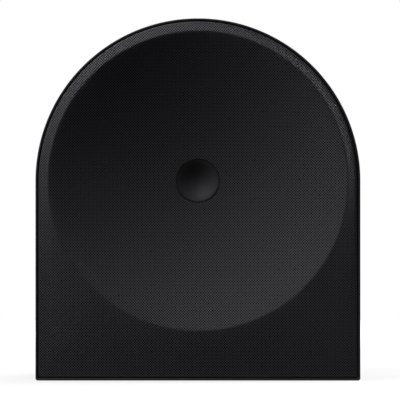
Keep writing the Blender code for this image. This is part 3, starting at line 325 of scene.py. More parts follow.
def turned(profile: Array, centre: Pair, steps: int) -> Array:
    """Turns a profile about an axis along Y: (x0 + r cos a, y, z0 + r sin a).

    Args:
        profile: (n, 2) pairs of radius and Y.
        centre: X and Z of the axis.
        steps: Points round the axis.

    Returns:
        (n, steps, 3) points.
    """
    angle = unit(steps) * 2 * np.pi
    radius, y = profile[:, :1], profile[:, 1:]
    return stacked(centre[0] + radius * np.cos(angle), y, centre[1] + radius * np.sin(angle))


def bar(path: Array, width: float, base: float, top: float, edge: float) -> Skin:
    """A raised bar along a path on a face that looks to +Y, with chamfered top edges.

    Each point of the path is moved sideways by the profile's offset and out to its Y.

    Args:
        path: (n, 2) X and Z along the middle line.
        width: Width of the bar.
        base: Y that it starts from.
        top: Y of its top.
        edge: Chamfer width.

    Returns:
        The closed skin.
    """
    along = np.gradient(path, axis=0)
    along /= np.linalg.norm(along, axis=1, keepdims=True)
    side = stacked(-along[:, 1], along[:, 0])
    half = width / 2
    shift = np.array([-half, -half, edge - half, half - edge, half, half])
    level = [base, top - edge, top, top, top - edge, base]
    skin = Skin()
    ids = skin.sheet(lifted(path[None] + shift[:, None, None] * side[None], level), False, True)
    skin.fan(ids[:, 0])
    skin.fan(ids[::-1, -1])
    return skin


def rounded_box(centre: Pair, size: Pair, corner: float, grow: Array, steps: int) -> Array:
    """Rounded rectangles about one centre, each grown by an amount on every side.

    Args:
        centre: X and Z of the middle.
        size: Width and height before growth.
        corner: Corner radius before growth.
        grow: (n,) growths.
        steps: Points in each corner.

    Returns:
        (n, 4 * steps, 2) X and Z.
    """
    radius = corner + grow[:, None]
    angle = unit(steps, True) * np.pi / 2
    x, z = [], []
    for turn, (right, up) in enumerate(((1, 1), (-1, 1), (-1, -1), (1, -1))):
        swing = angle + turn * np.pi / 2
        x.append(centre[0] + right * (size[0] / 2 - corner) + radius * np.cos(swing))
        z.append(centre[1] + up * (size[1] / 2 - corner) + radius * np.sin(swing))
    return stacked(np.concatenate(x, axis=1), np.concatenate(z, axis=1))


# Finishes


class Pattern(Enum):
    """Surface patterns, each drawn by one shared node group."""

    GRAIN = "moulded_grain"
    PEEL = "coat_peel"
    FIBRE = "fibre_lay"
    WEAVE = "cloth_weave"
    CELL = "foam_cells"
    DRAWN = "drawn_lines"
    TURNS = "wound_turns"


class NodeSheet:
    """Short ways to place and join nodes in one node tree."""

    MIX_FIRST = 6
    MIX_SECOND = 7
    MIX_RESULT = 2

    def __init__(self, tree: bpy.types.NodeTree) -> None:
        """Takes the tree that the nodes go into."""
        self.tree = tree

    @classmethod
    def opened(cls, holder: bpy.types.Material | bpy.types.World) -> "NodeSheet":
        """Turns on the nodes of a new material or world and returns its empty sheet."""
        holder.use_nodes = True
        holder.node_tree.nodes.clear()
        return cls(holder.node_tree)

    def put(self, value: object, socket: Socket) -> None:
        """Links a socket, or sets a plain value on it."""
        if isinstance(value, Socket):
            self.tree.links.new(value, socket)
        else:
            socket.default_value = value

    def node(self, kind: str, inputs: dict | None = None, **settings: object) -> bpy.types.Node:
        """Places a node.

        Args:
            kind: The node's type name.
            inputs: Values or sockets for its inputs, by name or number.
            settings: Properties of the node.

        Returns:
            The node.
        """
        made = self.tree.nodes.new(kind)
        for key, value in settings.items():
            setattr(made, key, value)
        for key, value in (inputs or {}).items():
            self.put(value, made.inputs[key])
        return made

    def maths(self, operation: str, *values: object) -> Socket:
        """Places a Math node on values or sockets and returns its output."""
        inputs = dict(enumerate(values))
        return self.node("ShaderNodeMath", inputs, operation=operation).outputs[0]

    def mean(self, first: Socket, share: float, second: Socket) -> Socket:
        """Returns the weighted mean first * share + second * (1 - share)."""
        return self.maths("MULTIPLY_ADD", first, share, self.maths("MULTIPLY", second, 1 - share))

    def mixed(self, share: Socket, first: object, second: object) -> Socket:
        """Places a colour Mix node and returns its colour."""
        inputs = {"Factor": share, self.MIX_FIRST: first, self.MIX_SECOND: second}
        return self.node("ShaderNodeMix", inputs, data_type="RGBA").outputs[self.MIX_RESULT]

    def noise(self, vector: object, scale: object, detail: float = 2.0, times: float = 1.0) -> Socket:
        """Places a Noise texture, whose scale may be multiplied, and returns its value."""
        if times != 1.0:
            scale = self.maths("MULTIPLY", scale, times)
        inputs = {"Vector": vector, "Scale": scale, "Detail": detail}
        return self.node("ShaderNodeTexNoise", inputs).outputs[0]

    def cells(self, vector: object, scale: object) -> Socket:
        """Places a Voronoi texture and returns the distance to its cells' middles."""
        inputs = {"Vector": vector, "Scale": scale}
        return self.node("ShaderNodeTexVoronoi", inputs).outputs["Distance"]

    def stretched(self, vector: object, scale: Triple) -> Socket:
        """Scales a vector by axis and returns it."""
        return self.node("ShaderNodeMapping", {"Vector": vector, "Scale": scale}).outputs[0]

    def bands(self, vector: object, scale: object, axis: str) -> Socket:
        """Places a Wave texture of straight bands and returns its value."""
        inputs = {"Vector": vector, "Scale": scale}
        return self.node("ShaderNodeTexWave", inputs, bands_direction=axis).outputs[1]

    def ramp(self, value: Socket, ends: Pair, results: Pair = (0.0, 1.0)) -> Socket:
        """Returns a smooth step between results as a value runs from end to end."""
        inputs = {"Value": value, "From Min": ends[0], "From Max": ends[1],
                  "To Min": results[0], "To Max": results[1]}
        return self.node("ShaderNodeMapRange", inputs, interpolation_type="SMOOTHSTEP").outputs[0]


class GroupShelf:
    """The shared node groups, each built the first time it is asked for.

    Each draw method places one pattern on a group's sheet from its Vector and Scale, and
    returns its Height and its Shade. Their further arguments name the pattern's numbers.
    """

    made: dict[str, bpy.types.NodeTree] = {}
    HANDLING = "handling_marks"

    @classmethod
    def start(cls, name: str, outputs: Sequence[str]) -> tuple[NodeSheet, Socket, Socket]:
        """Opens a new group with Vector and Scale inputs.

        Args:
            name: The group's name.
            outputs: Names of its value outputs.

        Returns:
            The group's sheet, Vector and Scale.
        """
        tree = bpy.data.node_groups.new(name, "ShaderNodeTree")
        tree.interface.new_socket("Vector", in_out="INPUT", socket_type="NodeSocketVector")
        tree.interface.new_socket("Scale", in_out="INPUT", socket_type="NodeSocketFloat")
        for output in outputs:
            tree.interface.new_socket(output, in_out="OUTPUT", socket_type="NodeSocketFloat")
        cls.made[name] = tree
        sheet = NodeSheet(tree)
        source = sheet.node("NodeGroupInput").outputs
        return sheet, source["Vector"], source["Scale"]

    @classmethod
    def pattern(cls, kind: Pattern) -> bpy.types.NodeTree:
        """Returns the group of a pattern, with outputs Height and Shade."""
        if kind.value not in cls.made:
            sheet, vector, scale = cls.start(kind.value, ("Height", "Shade"))
            height, shade = getattr(cls, f"draw_{kind.name.lower()}")(sheet, vector, scale)
            sheet.node("NodeGroupOutput", {"Height": height, "Shade": shade})
        return cls.made[kind.value]

    @classmethod
    def handling(cls, fineness: float = 60.0, level: float = 0.58, soft: float = 0.05,
                 gain: float = 3.0) -> bpy.types.NodeTree:
        """Returns the group of dust and finger marks, with outputs Dust and Smudge.

        Args:
            fineness: How many times finer the dust is than the marks.
            level: Noise value above which specks show.
            soft: Width of the step there.
            gain: Strength of the specks.
        """
        if cls.HANDLING not in cls.made:
            sheet, vector, scale = cls.start(cls.HANDLING, ("Dust", "Smudge"))
            fine = sheet.noise(vector, scale, detail=4.0, times=fineness)
            broad = sheet.noise(vector, scale)
            specks = sheet.maths("SMOOTH_MAX", sheet.maths("SUBTRACT", fine, level), 0.0, soft)
            dust = sheet.maths("MULTIPLY", sheet.maths("MULTIPLY", specks, gain), broad)
            sheet.node("NodeGroupOutput", {"Dust": dust, "Smudge": broad})
        return cls.made[cls.HANDLING]

    @staticmethod
    def draw_grain(sheet: NodeSheet, vector: Socket, scale: Socket, pit: float = 0.6,
                   cloud: float = 0.03, fine_share: float = 0.4) -> tuple[Socket, Socket]:
        """Spark-eroded grain: soft noise with the pits of a cell pattern."""
        soft = sheet.noise(vector, scale, detail=3.0)
        height = sheet.maths("MULTIPLY_ADD", sheet.cells(vector, scale), pit, soft)
        return height, sheet.mean(soft, fine_share, sheet.noise(vector, scale, times=cloud))

    @staticmethod
    def draw_peel(sheet: NodeSheet, vector: Socket, scale: Socket, fleck_scale: float = 2.7,
                  level: float = 0.66, bright: float = 0.35,
                  swell_share: float = 0.65) -> tuple[Socket, Socket]:
        """Powder coat: rounded swells with a sparse bright fleck."""
        swell = sheet.noise(vector, scale, detail=1.0)
        fleck = sheet.noise(vector, scale, times=fleck_scale)
        lit = sheet.maths("MULTIPLY", sheet.maths("GREATER_THAN", fleck, level), bright)
        return swell, sheet.maths("MULTIPLY_ADD", swell, swell_share, lit)

    @staticmethod
    def draw_fibre(sheet: NodeSheet, vector: Socket, scale: Socket,
                   stretch: float = 0.12) -> tuple[Socket, Socket]:
        """Pulp: the greater of two noises that are drawn out along different axes."""
        ways = ((1.0, 1.0, stretch), (stretch, 1.0, 1.0))
        lays = [sheet.noise(sheet.stretched(vector, way), scale, detail=3.0) for way in ways]
        lay = sheet.maths("MAXIMUM", *lays)
        return lay, lay

    @staticmethod
    def draw_weave(sheet: NodeSheet, vector: Socket, scale: Socket,
                   cloud: float = 0.2) -> tuple[Socket, Socket]:
        """Plain weave: the greater of the warp's and the weft's bands."""
        thread = sheet.maths("MAXIMUM", *[sheet.bands(vector, scale, axis) for axis in "XZ"])
        return thread, sheet.maths("MULTIPLY", thread, sheet.noise(vector, scale, times=cloud))

    @staticmethod
    def draw_cell(sheet: NodeSheet, vector: Socket, scale: Socket) -> tuple[Socket, Socket]:
        """Foam: open cells whose middles are sunk."""
        cells = sheet.cells(vector, scale)
        return cells, sheet.maths("SUBTRACT", 1.0, cells)

    @staticmethod
    def draw_drawn(sheet: NodeSheet, vector: Socket, scale: Socket, stretch: float = 0.03,
                   cloud: float = 0.05, fine_share: float = 0.5) -> tuple[Socket, Socket]:
        """Drawn metal: noise that is drawn out along X into fine lines."""
        lines = sheet.noise(sheet.stretched(vector, (stretch, 1.0, 1.0)), scale, detail=4.0)
        return lines, sheet.mean(lines, fine_share, sheet.noise(vector, scale, times=cloud))

    @staticmethod
    def draw_turns(sheet: NodeSheet, vector: Socket, scale: Socket,
                   cloud: float = 0.3) -> tuple[Socket, Socket]:
        """Wound wire: round bands along Y."""
        turns = sheet.bands(vector, scale, "Y")
        return turns, sheet.maths("MULTIPLY", turns, sheet.noise(vector, scale, times=cloud))


@dataclass(frozen=True)
class Finish:
    """One finish of the record, as a procedural material."""

    slot: str
    colour: Triple
    roughness: float
    pattern: Pattern
    pitch: float
    relief: float
    metallic: float = 0.0
    specular: float = 0.5
    colour_spread: float = 0.15
    rough_spread: float = 0.1
    dust: float = 0.02
    smudge: float = 0.06
    smudge_scale: float = 22.0
    dust_colour: Triple = (0.32, 0.31, 0.29)

    def material(self) -> bpy.types.Material:
        """Returns the material, built on first use.

        The pattern's Shade moves the colour between its dark and light ends and its
        Height feeds a Bump; the handling group adds specks of dust and moves the gloss.
        """
        name = f"{self.slot}_finish"
        if name in bpy.data.materials:
            return bpy.data.materials[name]
        made = bpy.data.materials.new(name)
        sheet = NodeSheet.opened(made)
        place = sheet.node("ShaderNodeTexCoord").outputs["Object"]
        detail = sheet.node("ShaderNodeGroup", node_tree=GroupShelf.pattern(self.pattern))
        marks = sheet.node("ShaderNodeGroup", node_tree=GroupShelf.handling())
        for group, scale in ((detail, 1 / self.pitch), (marks, self.smudge_scale)):
            sheet.put(place, group.inputs["Vector"])
            sheet.put(scale, group.inputs["Scale"])
        shade = detail.outputs["Shade"]
        dark, light = (tuple(min(c * share, 1.0) for c in self.colour) + (1.0,)
                       for share in (1 - self.colour_spread, 1 + self.colour_spread))
        specks = sheet.maths("MULTIPLY", marks.outputs["Dust"], self.dust)
        colour = sheet.mixed(specks, sheet.mixed(shade, dark, light), self.dust_colour + (1.0,))
        gloss = sheet.maths("MULTIPLY_ADD", shade, self.rough_spread,
                            self.roughness - (self.rough_spread + self.smudge) / 2)
        gloss = sheet.maths("MULTIPLY_ADD", marks.outputs["Smudge"], self.smudge, gloss)
        bump = sheet.node("ShaderNodeBump", {"Strength": 1.0, "Distance": self.relief,
                                             "Height": detail.outputs["Height"]})
        shader = sheet.node("ShaderNodeBsdfPrincipled", {
            "Base Color": colour, "Roughness": gloss, "Normal": bump.outputs[0],
            "Metallic": self.metallic, "Specular IOR Level": self.specular})
        sheet.node("ShaderNodeOutputMaterial", {"Surface": shader.outputs[0]})
        return made


FINISHES = {finish.slot: finish for finish in (
    Finish("cabinet_plastic", (0.02, 0.0197, 0.0215), 0.55, Pattern.GRAIN, 0.0006, 0.00003,
           specular=0.35),
    Finish("rubber", (0.012, 0.012, 0.0125), 0.62, Pattern.GRAIN, 0.0004, 0.00002, specular=0.3),
    Finish("foam", (0.014, 0.014, 0.015), 0.9, Pattern.CELL, 0.0008, 0.0002, specular=0.15),
    Finish("inner_plastic", (0.011, 0.011, 0.0115), 0.5, Pattern.GRAIN, 0.0007, 0.00003,
           specular=0.35),
    Finish("grille_steel", (0.0497, 0.0486, 0.0614), 0.5, Pattern.PEEL, 0.00022, 0.000012,
           colour_spread=0.1, specular=0.55, dust=0.008, smudge=0.015),
    Finish("cup_plastic", (0.028, 0.0275, 0.031), 0.55, Pattern.GRAIN, 0.0004, 0.000008,
           specular=0.25),
    Finish("black_steel", (0.03, 0.03, 0.032), 0.42, Pattern.PEEL, 0.0003, 0.00001, metallic=0.6),
    Finish("paper_cone", (0.02, 0.02, 0.02), 0.85, Pattern.FIBRE, 0.0012, 0.00008, specular=0.2),
    Finish("copper", (0.72, 0.32, 0.16), 0.3, Pattern.TURNS, 0.001, 0.00008, metallic=1.0),
    Finish("spider_cloth", (0.42, 0.27, 0.11), 0.9, Pattern.WEAVE, 0.004, 0.00015, specular=0.2),
    Finish("plated_steel", (0.58, 0.56, 0.5), 0.34, Pattern.DRAWN, 0.0008, 0.00001, metallic=1.0),
    Finish("ferrite", (0.035, 0.034, 0.036), 0.6, Pattern.GRAIN, 0.0009, 0.00005),
    # near-black, darker than the cloth itself, so that it also paints the shade seen through the
    # grille's holes
    Finish("black_cloth", (0.002, 0.002, 0.0022), 0.8, Pattern.WEAVE, 0.003, 0.00004, specular=0.03),
    Finish("circuit_board", (0.012, 0.06, 0.022), 0.45, Pattern.WEAVE, 0.01, 0.00002),
    Finish("aluminium", (0.62, 0.62, 0.63), 0.4, Pattern.DRAWN, 0.0006, 0.00001, metallic=1.0),
    Finish("sleeve_film", (0.012, 0.016, 0.03), 0.35, Pattern.PEEL, 0.002, 0.00002),
    Finish("socket_plastic", (0.01, 0.01, 0.0105), 0.5, Pattern.GRAIN, 0.0005, 0.00002,
           specular=0.35),
    Finish("brass", (0.75, 0.56, 0.26), 0.32, Pattern.DRAWN, 0.0005, 0.000008, metallic=1.0),
    Finish("lead_jacket", (0.012, 0.012, 0.012), 0.5, Pattern.TURNS, 0.02, 0.00002),
)}


def dress(piece: bpy.types.Object, slot: str, *nodes: str, body: str | None = ROOT) -> None:
    """Gives a new piece its finish, its body and the CAD nodes that it stands for.

    Args:
        piece: The new object.
        slot: The record's material slot.
        nodes: CAD nodes that the piece replaces.
        body: The body that it rides on, or None for a piece that bends between two.
    """
    piece.data.materials.append(FINISHES[slot].material())
    if body:
        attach(piece, body)
    if nodes:
        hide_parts(*nodes)
    LOG.info("%s: %d faces, %s", piece.name, len(piece.data.polygons), slot)


# The arch


@dataclass(frozen=True)
class Arch:
    """The arch outline that cabinet, cover, seal and grille share."""

    half: float = 0.125
    axis: float = 0.154
    floor: float = 0.0004
    corner: float = 0.0017
    least_corner: float = 0.0015
    arc_steps: int = 180
    side_steps: int = 20
    corner_steps: int = 8
    floor_steps: int = 24

    def loops(self, inset: Array) -> Array:
        """Outlines set in from the outer one, from the right foot up over the top.

        A half circle of radius half - inset stands on two straight sides, which meet
        the floor in rounded corners.

        Args:
            inset: (n,) distances inwards.

        Returns:
            (n, m, 2) X and Z.
        """
        inset = inset[:, None]
        half, floor = self.half - inset, self.floor + inset
        corner = np.maximum(self.corner - inset, self.least_corner)
        foot, inner = floor + corner, half - corner
        rise, span = unit(self.side_steps), unit(self.floor_steps)
        over, quarter = unit(self.arc_steps) * np.pi, unit(self.corner_steps) * np.pi / 2
        x = [half + 0 * rise, half * np.cos(over), -half + 0 * rise,
             -inner - corner * np.cos(quarter), inner * (2 * span - 1),
             inner + corner * np.sin(quarter)]
        z = [foot + (self.axis - foot) * rise, self.axis + half * np.sin(over),
             self.axis + (foot - self.axis) * rise, foot - corner * np.sin(quarter),
             floor + 0 * span, foot - corner * np.cos(quarter)]
        return stacked(np.concatenate(x, axis=1), np.concatenate(z, axis=1))

    def sweep(self, profile: Array) -> Array:
        """Carries (n, 2) pairs of inset and Y round the outline: (n, m, 3) points."""
        return lifted(self.loops(profile[:, 0]), profile[:, 1])


ARCH = Arch()


@dataclass
class Cabinet:
    """The arch sleeve with its lip, the seal in the rear seam and the base pad."""

    lip: float = 0.0016
    lip_round: float = 0.0004
    rebate: float = 0.010
    wall: float = 0.004
    ledge_inset: float = 0.017
    ledge_gap: float = 0.0003
    ledge_depth: float = 0.004
    seam_round: float = 0.0006
    seal_inset: Pair = (0.0015, 0.0050)
    seal_bulge: float = 0.0003
    pad_corner: float = 0.004
    pad_round: float = 0.0006
    pad_steps: int = 8
    steps: int = 6

    def build(self) -> None:
        """Builds and dresses the sleeve, the seal and the pad."""
        sleeve = wrapped(ARCH.sweep(self.sleeve()), True)
        dress(make_object("cabinet_sleeve", sleeve, EVEN), "cabinet_plastic", "housing")
        seal = wrapped(ARCH.sweep(self.seal()), True)
        dress(make_object("seam_seal", seal), "foam", "rear_seal")
        dress(make_object("rubber_foot", self.pad(), EVEN), "rubber", "base_pad")

    def sleeve(self) -> Array:
        """The sleeve's closed profile of inset and Y, from the lip backwards.

        Returns:
            (n, 2) pairs, with quarter rounds on the lip and on the seam's edge.
        """
        front, back = depths("housing")
        ledge = depths("baffle_seal")[1] + self.ledge_gap
        ledge_back, flange = ledge + self.ledge_depth, back - self.ledge_depth
        shoulder = front + self.rebate
        outer = rounded(self.lip_round, self.steps) + (0, front)
        inner = rounded(self.lip_round, self.steps)[::-1] * (-1, 1) + (self.lip, front)
        seam = rounded(self.seam_round, self.steps)[::-1] * (1, -1) + (0, back)
        rest = [(self.ledge_inset, back), (self.ledge_inset, flange), (self.wall, flange),
                (self.wall, ledge_back), (self.ledge_inset, ledge_back), (self.ledge_inset, ledge),
                (self.wall, ledge), (self.wall, shoulder), (self.lip, shoulder)]
        return np.concatenate([outer, seam, rest, inner])

    def seal(self) -> Array:
        """The seal's profile: a band whose outer edge swells by b(1 - t^2) across its depth."""
        low, high = depths("rear_seal")
        outer, inner = self.seal_inset
        across = np.linspace(-1, 1, 2 * self.steps + 1)
        swell = stacked(outer - self.seal_bulge * (1 - across**2),
                        (low + high) / 2 + across * (high - low) / 2)
        return np.concatenate([swell, [(inner, high), (inner, low)]])

    def pad(self) -> Skin:
        """The base pad: rounded rectangles stacked in Z, with a rounded lower edge."""
        low, high = (Vector(corner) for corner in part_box("base_pad"))
        edge = rounded(self.pad_round, self.steps)
        grow, level = np.append(-edge[:, 0], 0.0), np.append(low.z + edge[:, 1], high.z)
        centre, size = ((low + high) / 2).xy, (high - low).xy
        loops = rounded_box(centre, size, self.pad_corner, grow, self.pad_steps)
        skin = Skin()
        ids = skin.sheet(stacked(loops[..., 0], loops[..., 1], level[:, None]))
        skin.fan(ids[0, ::-1])
        skin.fan(ids[-1])
        return skin


@dataclass
class Grille:
    """The dished steel skin with its round holes, its folded edge, the liner and the cup."""

    ridge: float = depths("grille_mesh")[0]
    depth: float = 0.028
    radius: float = 0.1152
    edge_drop: float = 0.0004
    edge: float = depths("housing")[0] + edge_drop
    edge_inset: float = 0.0024
    crease: float = 0.0005
    fold: float = 0.0004
    fold_lap: float = 1.05
    skirt: float = 0.0093
    pitch: float = 0.002037
    row: float = 0.001051
    spare: int = 2
    hole: float = 0.00061
    thickness: float = 0.00028
    cup_hole: float = 0.0172
    cup_radius: float = 0.0168
    cup_recess: float = 0.0006
    bowl_radius: float = 0.0162
    bowl_depth: float = 0.0047
    bowl_power: float = 1.5
    cup_wall: float = 0.0015
    cup_flange: float = 0.0225
    liner_drop: float = 0.00055
    liner_margin: float = 0.0008
    dish_parts: int = 4
    border_parts: int = 2
    border_turn: float = 0.25
    rings: int = 48
    border_rings: int = 12
    spokes: int = 240
    cup_rings: int = 40
    cup_spokes: int = 96
    fold_steps: int = 6

    def reach(self, x: Array, z: Array) -> Array:
        """Distance from the axis to the skin's outline through a point of the front.

        Above the axis it is the arch's radius; below, the nearer of side and floor.

        Args:
            x: Across.
            z: Height.

        Returns:
            Distances.
        """
        half, drop = ARCH.half - self.edge_inset, ARCH.axis - ARCH.floor - self.edge_inset
        down = np.maximum(ARCH.axis - z, 0)
        out = np.hypot(x, z - ARCH.axis) + WELD
        low = np.minimum(half * out / (np.abs(x) + WELD), drop * out / (down + WELD))
        return np.where(z >= ARCH.axis, half, np.maximum(low, half))

    def front(self, x: Array, z: Array) -> Array:
        """Y of the skin's front.

        The dish is a paraboloid, y = ridge + depth (1 - (r/R)^2); the border runs
        straight from the ridge to the outline. A smooth maximum rounds the ridge.

        Args:
            x: Across.
            z: Height.

        Returns:
            Y values.
        """
        out = np.hypot(x, z - ARCH.axis)
        dish = self.ridge + self.depth * (1 - (out / self.radius) ** 2)
        slope = (self.edge - self.ridge) / (self.reach(x, z) - self.radius)
        border = self.ridge + slope * (out - self.radius)
        border = np.maximum(border, self.ridge - self.depth)
        return (dish + border + np.sqrt((dish - border) ** 2 + self.crease**2)) / 2

    def normal(self, x: Array, z: Array) -> Array:
        """Unit normals out of the front, from central differences of front()."""
        step = self.pitch / 4
        along_x = (self.front(x + step, z) - self.front(x - step, z)) / (2 * step)
        along_z = (self.front(x, z + step) - self.front(x, z - step)) / (2 * step)
        out = stacked(along_x, -1.0, along_z)
        return out / np.linalg.norm(out, axis=-1, keepdims=True)

    def held(self, x: Array, z: Array) -> tuple[Array, Array]:
        """Moves points outside the skin's trimmed edge on to that edge.

        Above the axis a point is drawn in along its radius, below it sideways and up;
        round the cup it is pushed out along its radius.

        Args:
            x: Across.
            z: Height.

        Returns:
            The moved X and Z.
        """
        inset = self.edge_inset + self.fold
        half, floor = ARCH.half - inset, ARCH.floor + inset
        out = np.hypot(x, z - ARCH.axis) + WELD
        above = z > ARCH.axis
        draw = np.where(above & (out > half), half / out, 1.0)
        x, z = x * draw, ARCH.axis + (z - ARCH.axis) * draw
        x = np.where(above, x, np.clip(x, -half, half))
        z = np.where(above, z, np.maximum(z, floor))
        out = np.hypot(x, z - ARCH.axis) + WELD
        push = np.maximum(self.cup_hole / out, 1.0)
        return x * push, ARCH.axis + (z - ARCH.axis) * push

    def centres(self) -> Array:
        """Hole centres: rows that are offset by half a pitch, where the skin has room.

        Returns:
            (n, 2) X and Z.
        """
        spans = ((ARCH.half, self.pitch), (ARCH.axis, self.row), (ARCH.half, self.row))
        across, below, above = (int(span / gap) + self.spare for span, gap in spans)
        i, j = np.meshgrid(np.arange(-across, across + 1), np.arange(-below, above + 1))
        x, z = (i + (j % 2) / 2) * self.pitch, ARCH.axis + j * self.row
        near_x, near_z = self.held(x, z)
        keep = np.hypot(near_x - x, near_z - z) < self.pitch / 2
        keep &= np.hypot(x, z - ARCH.axis) > self.cup_hole - self.pitch
        return stacked(x[keep], z[keep])

    def cells(self, centres: Array) -> Skin:
        """The web round each hole, and the hole's wall.

        A cell is the rhombus between the four nearest holes less an eight-sided hole.
        Its twelve triangles lie on front(); the wall goes back along the normal.

        Args:
            centres: (n, 2) hole centres.

        Returns:
            The open skin, which faces the front.
        """
        tips, sides = 4, 8
        turn, swing = unit(tips) * 2 * np.pi, unit(sides) * 2 * np.pi
        tip = stacked(np.cos(turn) * self.pitch / 2, np.sin(turn) * self.row)
        ring = self.hole * stacked(np.cos(swing), np.sin(swing))
        flat = centres[:, None] + np.concatenate([tip, ring])
        x, z = self.held(flat[..., 0], flat[..., 1])
        face = stacked(x, self.front(x, z), z)
        skin = Skin()
        ids = skin.add(face)
        deep = skin.add((face - self.thickness * self.normal(x, z))[:, tips:])
        rim = ids[:, tips:]
        for k in range(tips):
            a, b = ids[:, k], ids[:, (k + 1) % tips]
            p, q, r = (rim[:, (2 * k + s) % sides] for s in range(3))
            for three in ((a, b, q), (a, q, p), (b, r, q)):
                skin.triangles(stacked(*three))
        for k in range(sides):
            n = (k + 1) % sides
            skin.faces.append(stacked(rim[:, k], rim[:, n], deep[:, n], deep[:, k]))
        return skin

    def build(self) -> None:
        """Builds and dresses the skin in sectors, then the fold, the liner and the cup."""
        centres = self.centres()
        x, z = centres[:, 0], centres[:, 1] - ARCH.axis
        out, angle = np.hypot(x, z), np.arctan2(z, x) / (2 * np.pi) % 1
        zones = (("dish", out < self.radius, angle, self.dish_parts),
                 ("border", out >= self.radius, (angle + self.border_turn) % 1, self.border_parts))
        plain = Making(closed=False, smooth_angle=None, front_uv=True)
        for name, inside, share, parts in zones:
            for part in range(parts):
                mine = inside & (np.floor(share * parts).astype(int) == part)
                piece = make_object(f"grille_{name}_{part + 1}", self.cells(centres[mine]), plain)
                dress(piece, "grille_steel", "grille_mesh")
        self.folded_edge()
        self.liner()
        self.cup()

    def folded_edge(self) -> None:
        """The skin's plain edge: a strip of front() that rounds over into the skirt."""
        edge = rounded(self.fold, self.fold_steps)
        rows = [[self.fold * self.fold_lap], edge[:, 0], [0.0, self.thickness]]
        loops = ARCH.loops(self.edge_inset + np.concatenate(rows))
        y = self.front(loops[..., 0], loops[..., 1])
        y[1:-2] += edge[:, 1:]
        y[-2:] = self.edge + self.skirt
        strip = wrapped(stacked(loops[..., 0], y, loops[..., 1])[::-1])
        piece = make_object("grille_fold", strip, Making(closed=False, even_faces=True))
        dress(piece, "grille_steel", "grille_mesh")

    def liner(self) -> None:
        """The acoustic cloth that is stretched behind the skin. Its near-black finish also paints the
        shade seen through the holes.

        On a polar grid, r runs from the cup's hole to the ridge and on to just inside
        the outline, and y = front() + drop along the axis.
        """
        angle = (unit(self.spokes) * 2 * np.pi)[None]
        far = self.reach(np.cos(angle), ARCH.axis + np.sin(angle)) - self.liner_margin
        share = unit(self.rings, True)[:, None]
        inner = self.cup_hole + (self.radius - self.cup_hole) * share + 0 * angle
        outer = self.radius + (far - self.radius) * unit(self.border_rings, True)[1:, None]
        out = np.concatenate([inner, outer])
        x, z = out * np.cos(angle), ARCH.axis + out * np.sin(angle)
        cloth = wrapped(stacked(x, self.front(x, z) + self.liner_drop, z)[::-1])
        piece = make_object("grille_liner", cloth, Making(closed=False, front_uv=True))
        dress(piece, "black_cloth")

    def cup(self) -> None:
        """The cup: a bowl that flattens out at its rounded rim, and a flange behind the carrier.

        The bowl is y = rim + depth (1 - (r/R)^2)^power, and its back is the same line
        moved back by the wall, but never in front of the flange.
        """
        front, back = depths("centre_cup")
        rim, flange = front + self.cup_recess, back - self.cup_wall
        share = unit(self.cup_rings, True)
        sunk = self.bowl_depth * (1 - share**2) ** self.bowl_power
        bowl = stacked(self.bowl_radius * share, rim + sunk)
        edge = rounded(self.cup_radius - self.bowl_radius, self.fold_steps)[1:]
        edge = edge * (-1, 1) + (self.cup_radius, rim)
        side = [(self.cup_radius, flange), (self.cup_flange, flange), (self.cup_flange, back)]
        rear = stacked(bowl[::-1, 0], np.maximum(bowl[::-1, 1], flange) + self.cup_wall)
        profile = np.concatenate([bowl, edge, side, rear])
        cup = wrapped(turned(profile, (0.0, ARCH.axis), self.cup_spokes))
        dress(make_object("cup_bowl", cup), "cup_plastic", "centre_cup")


# Woofer


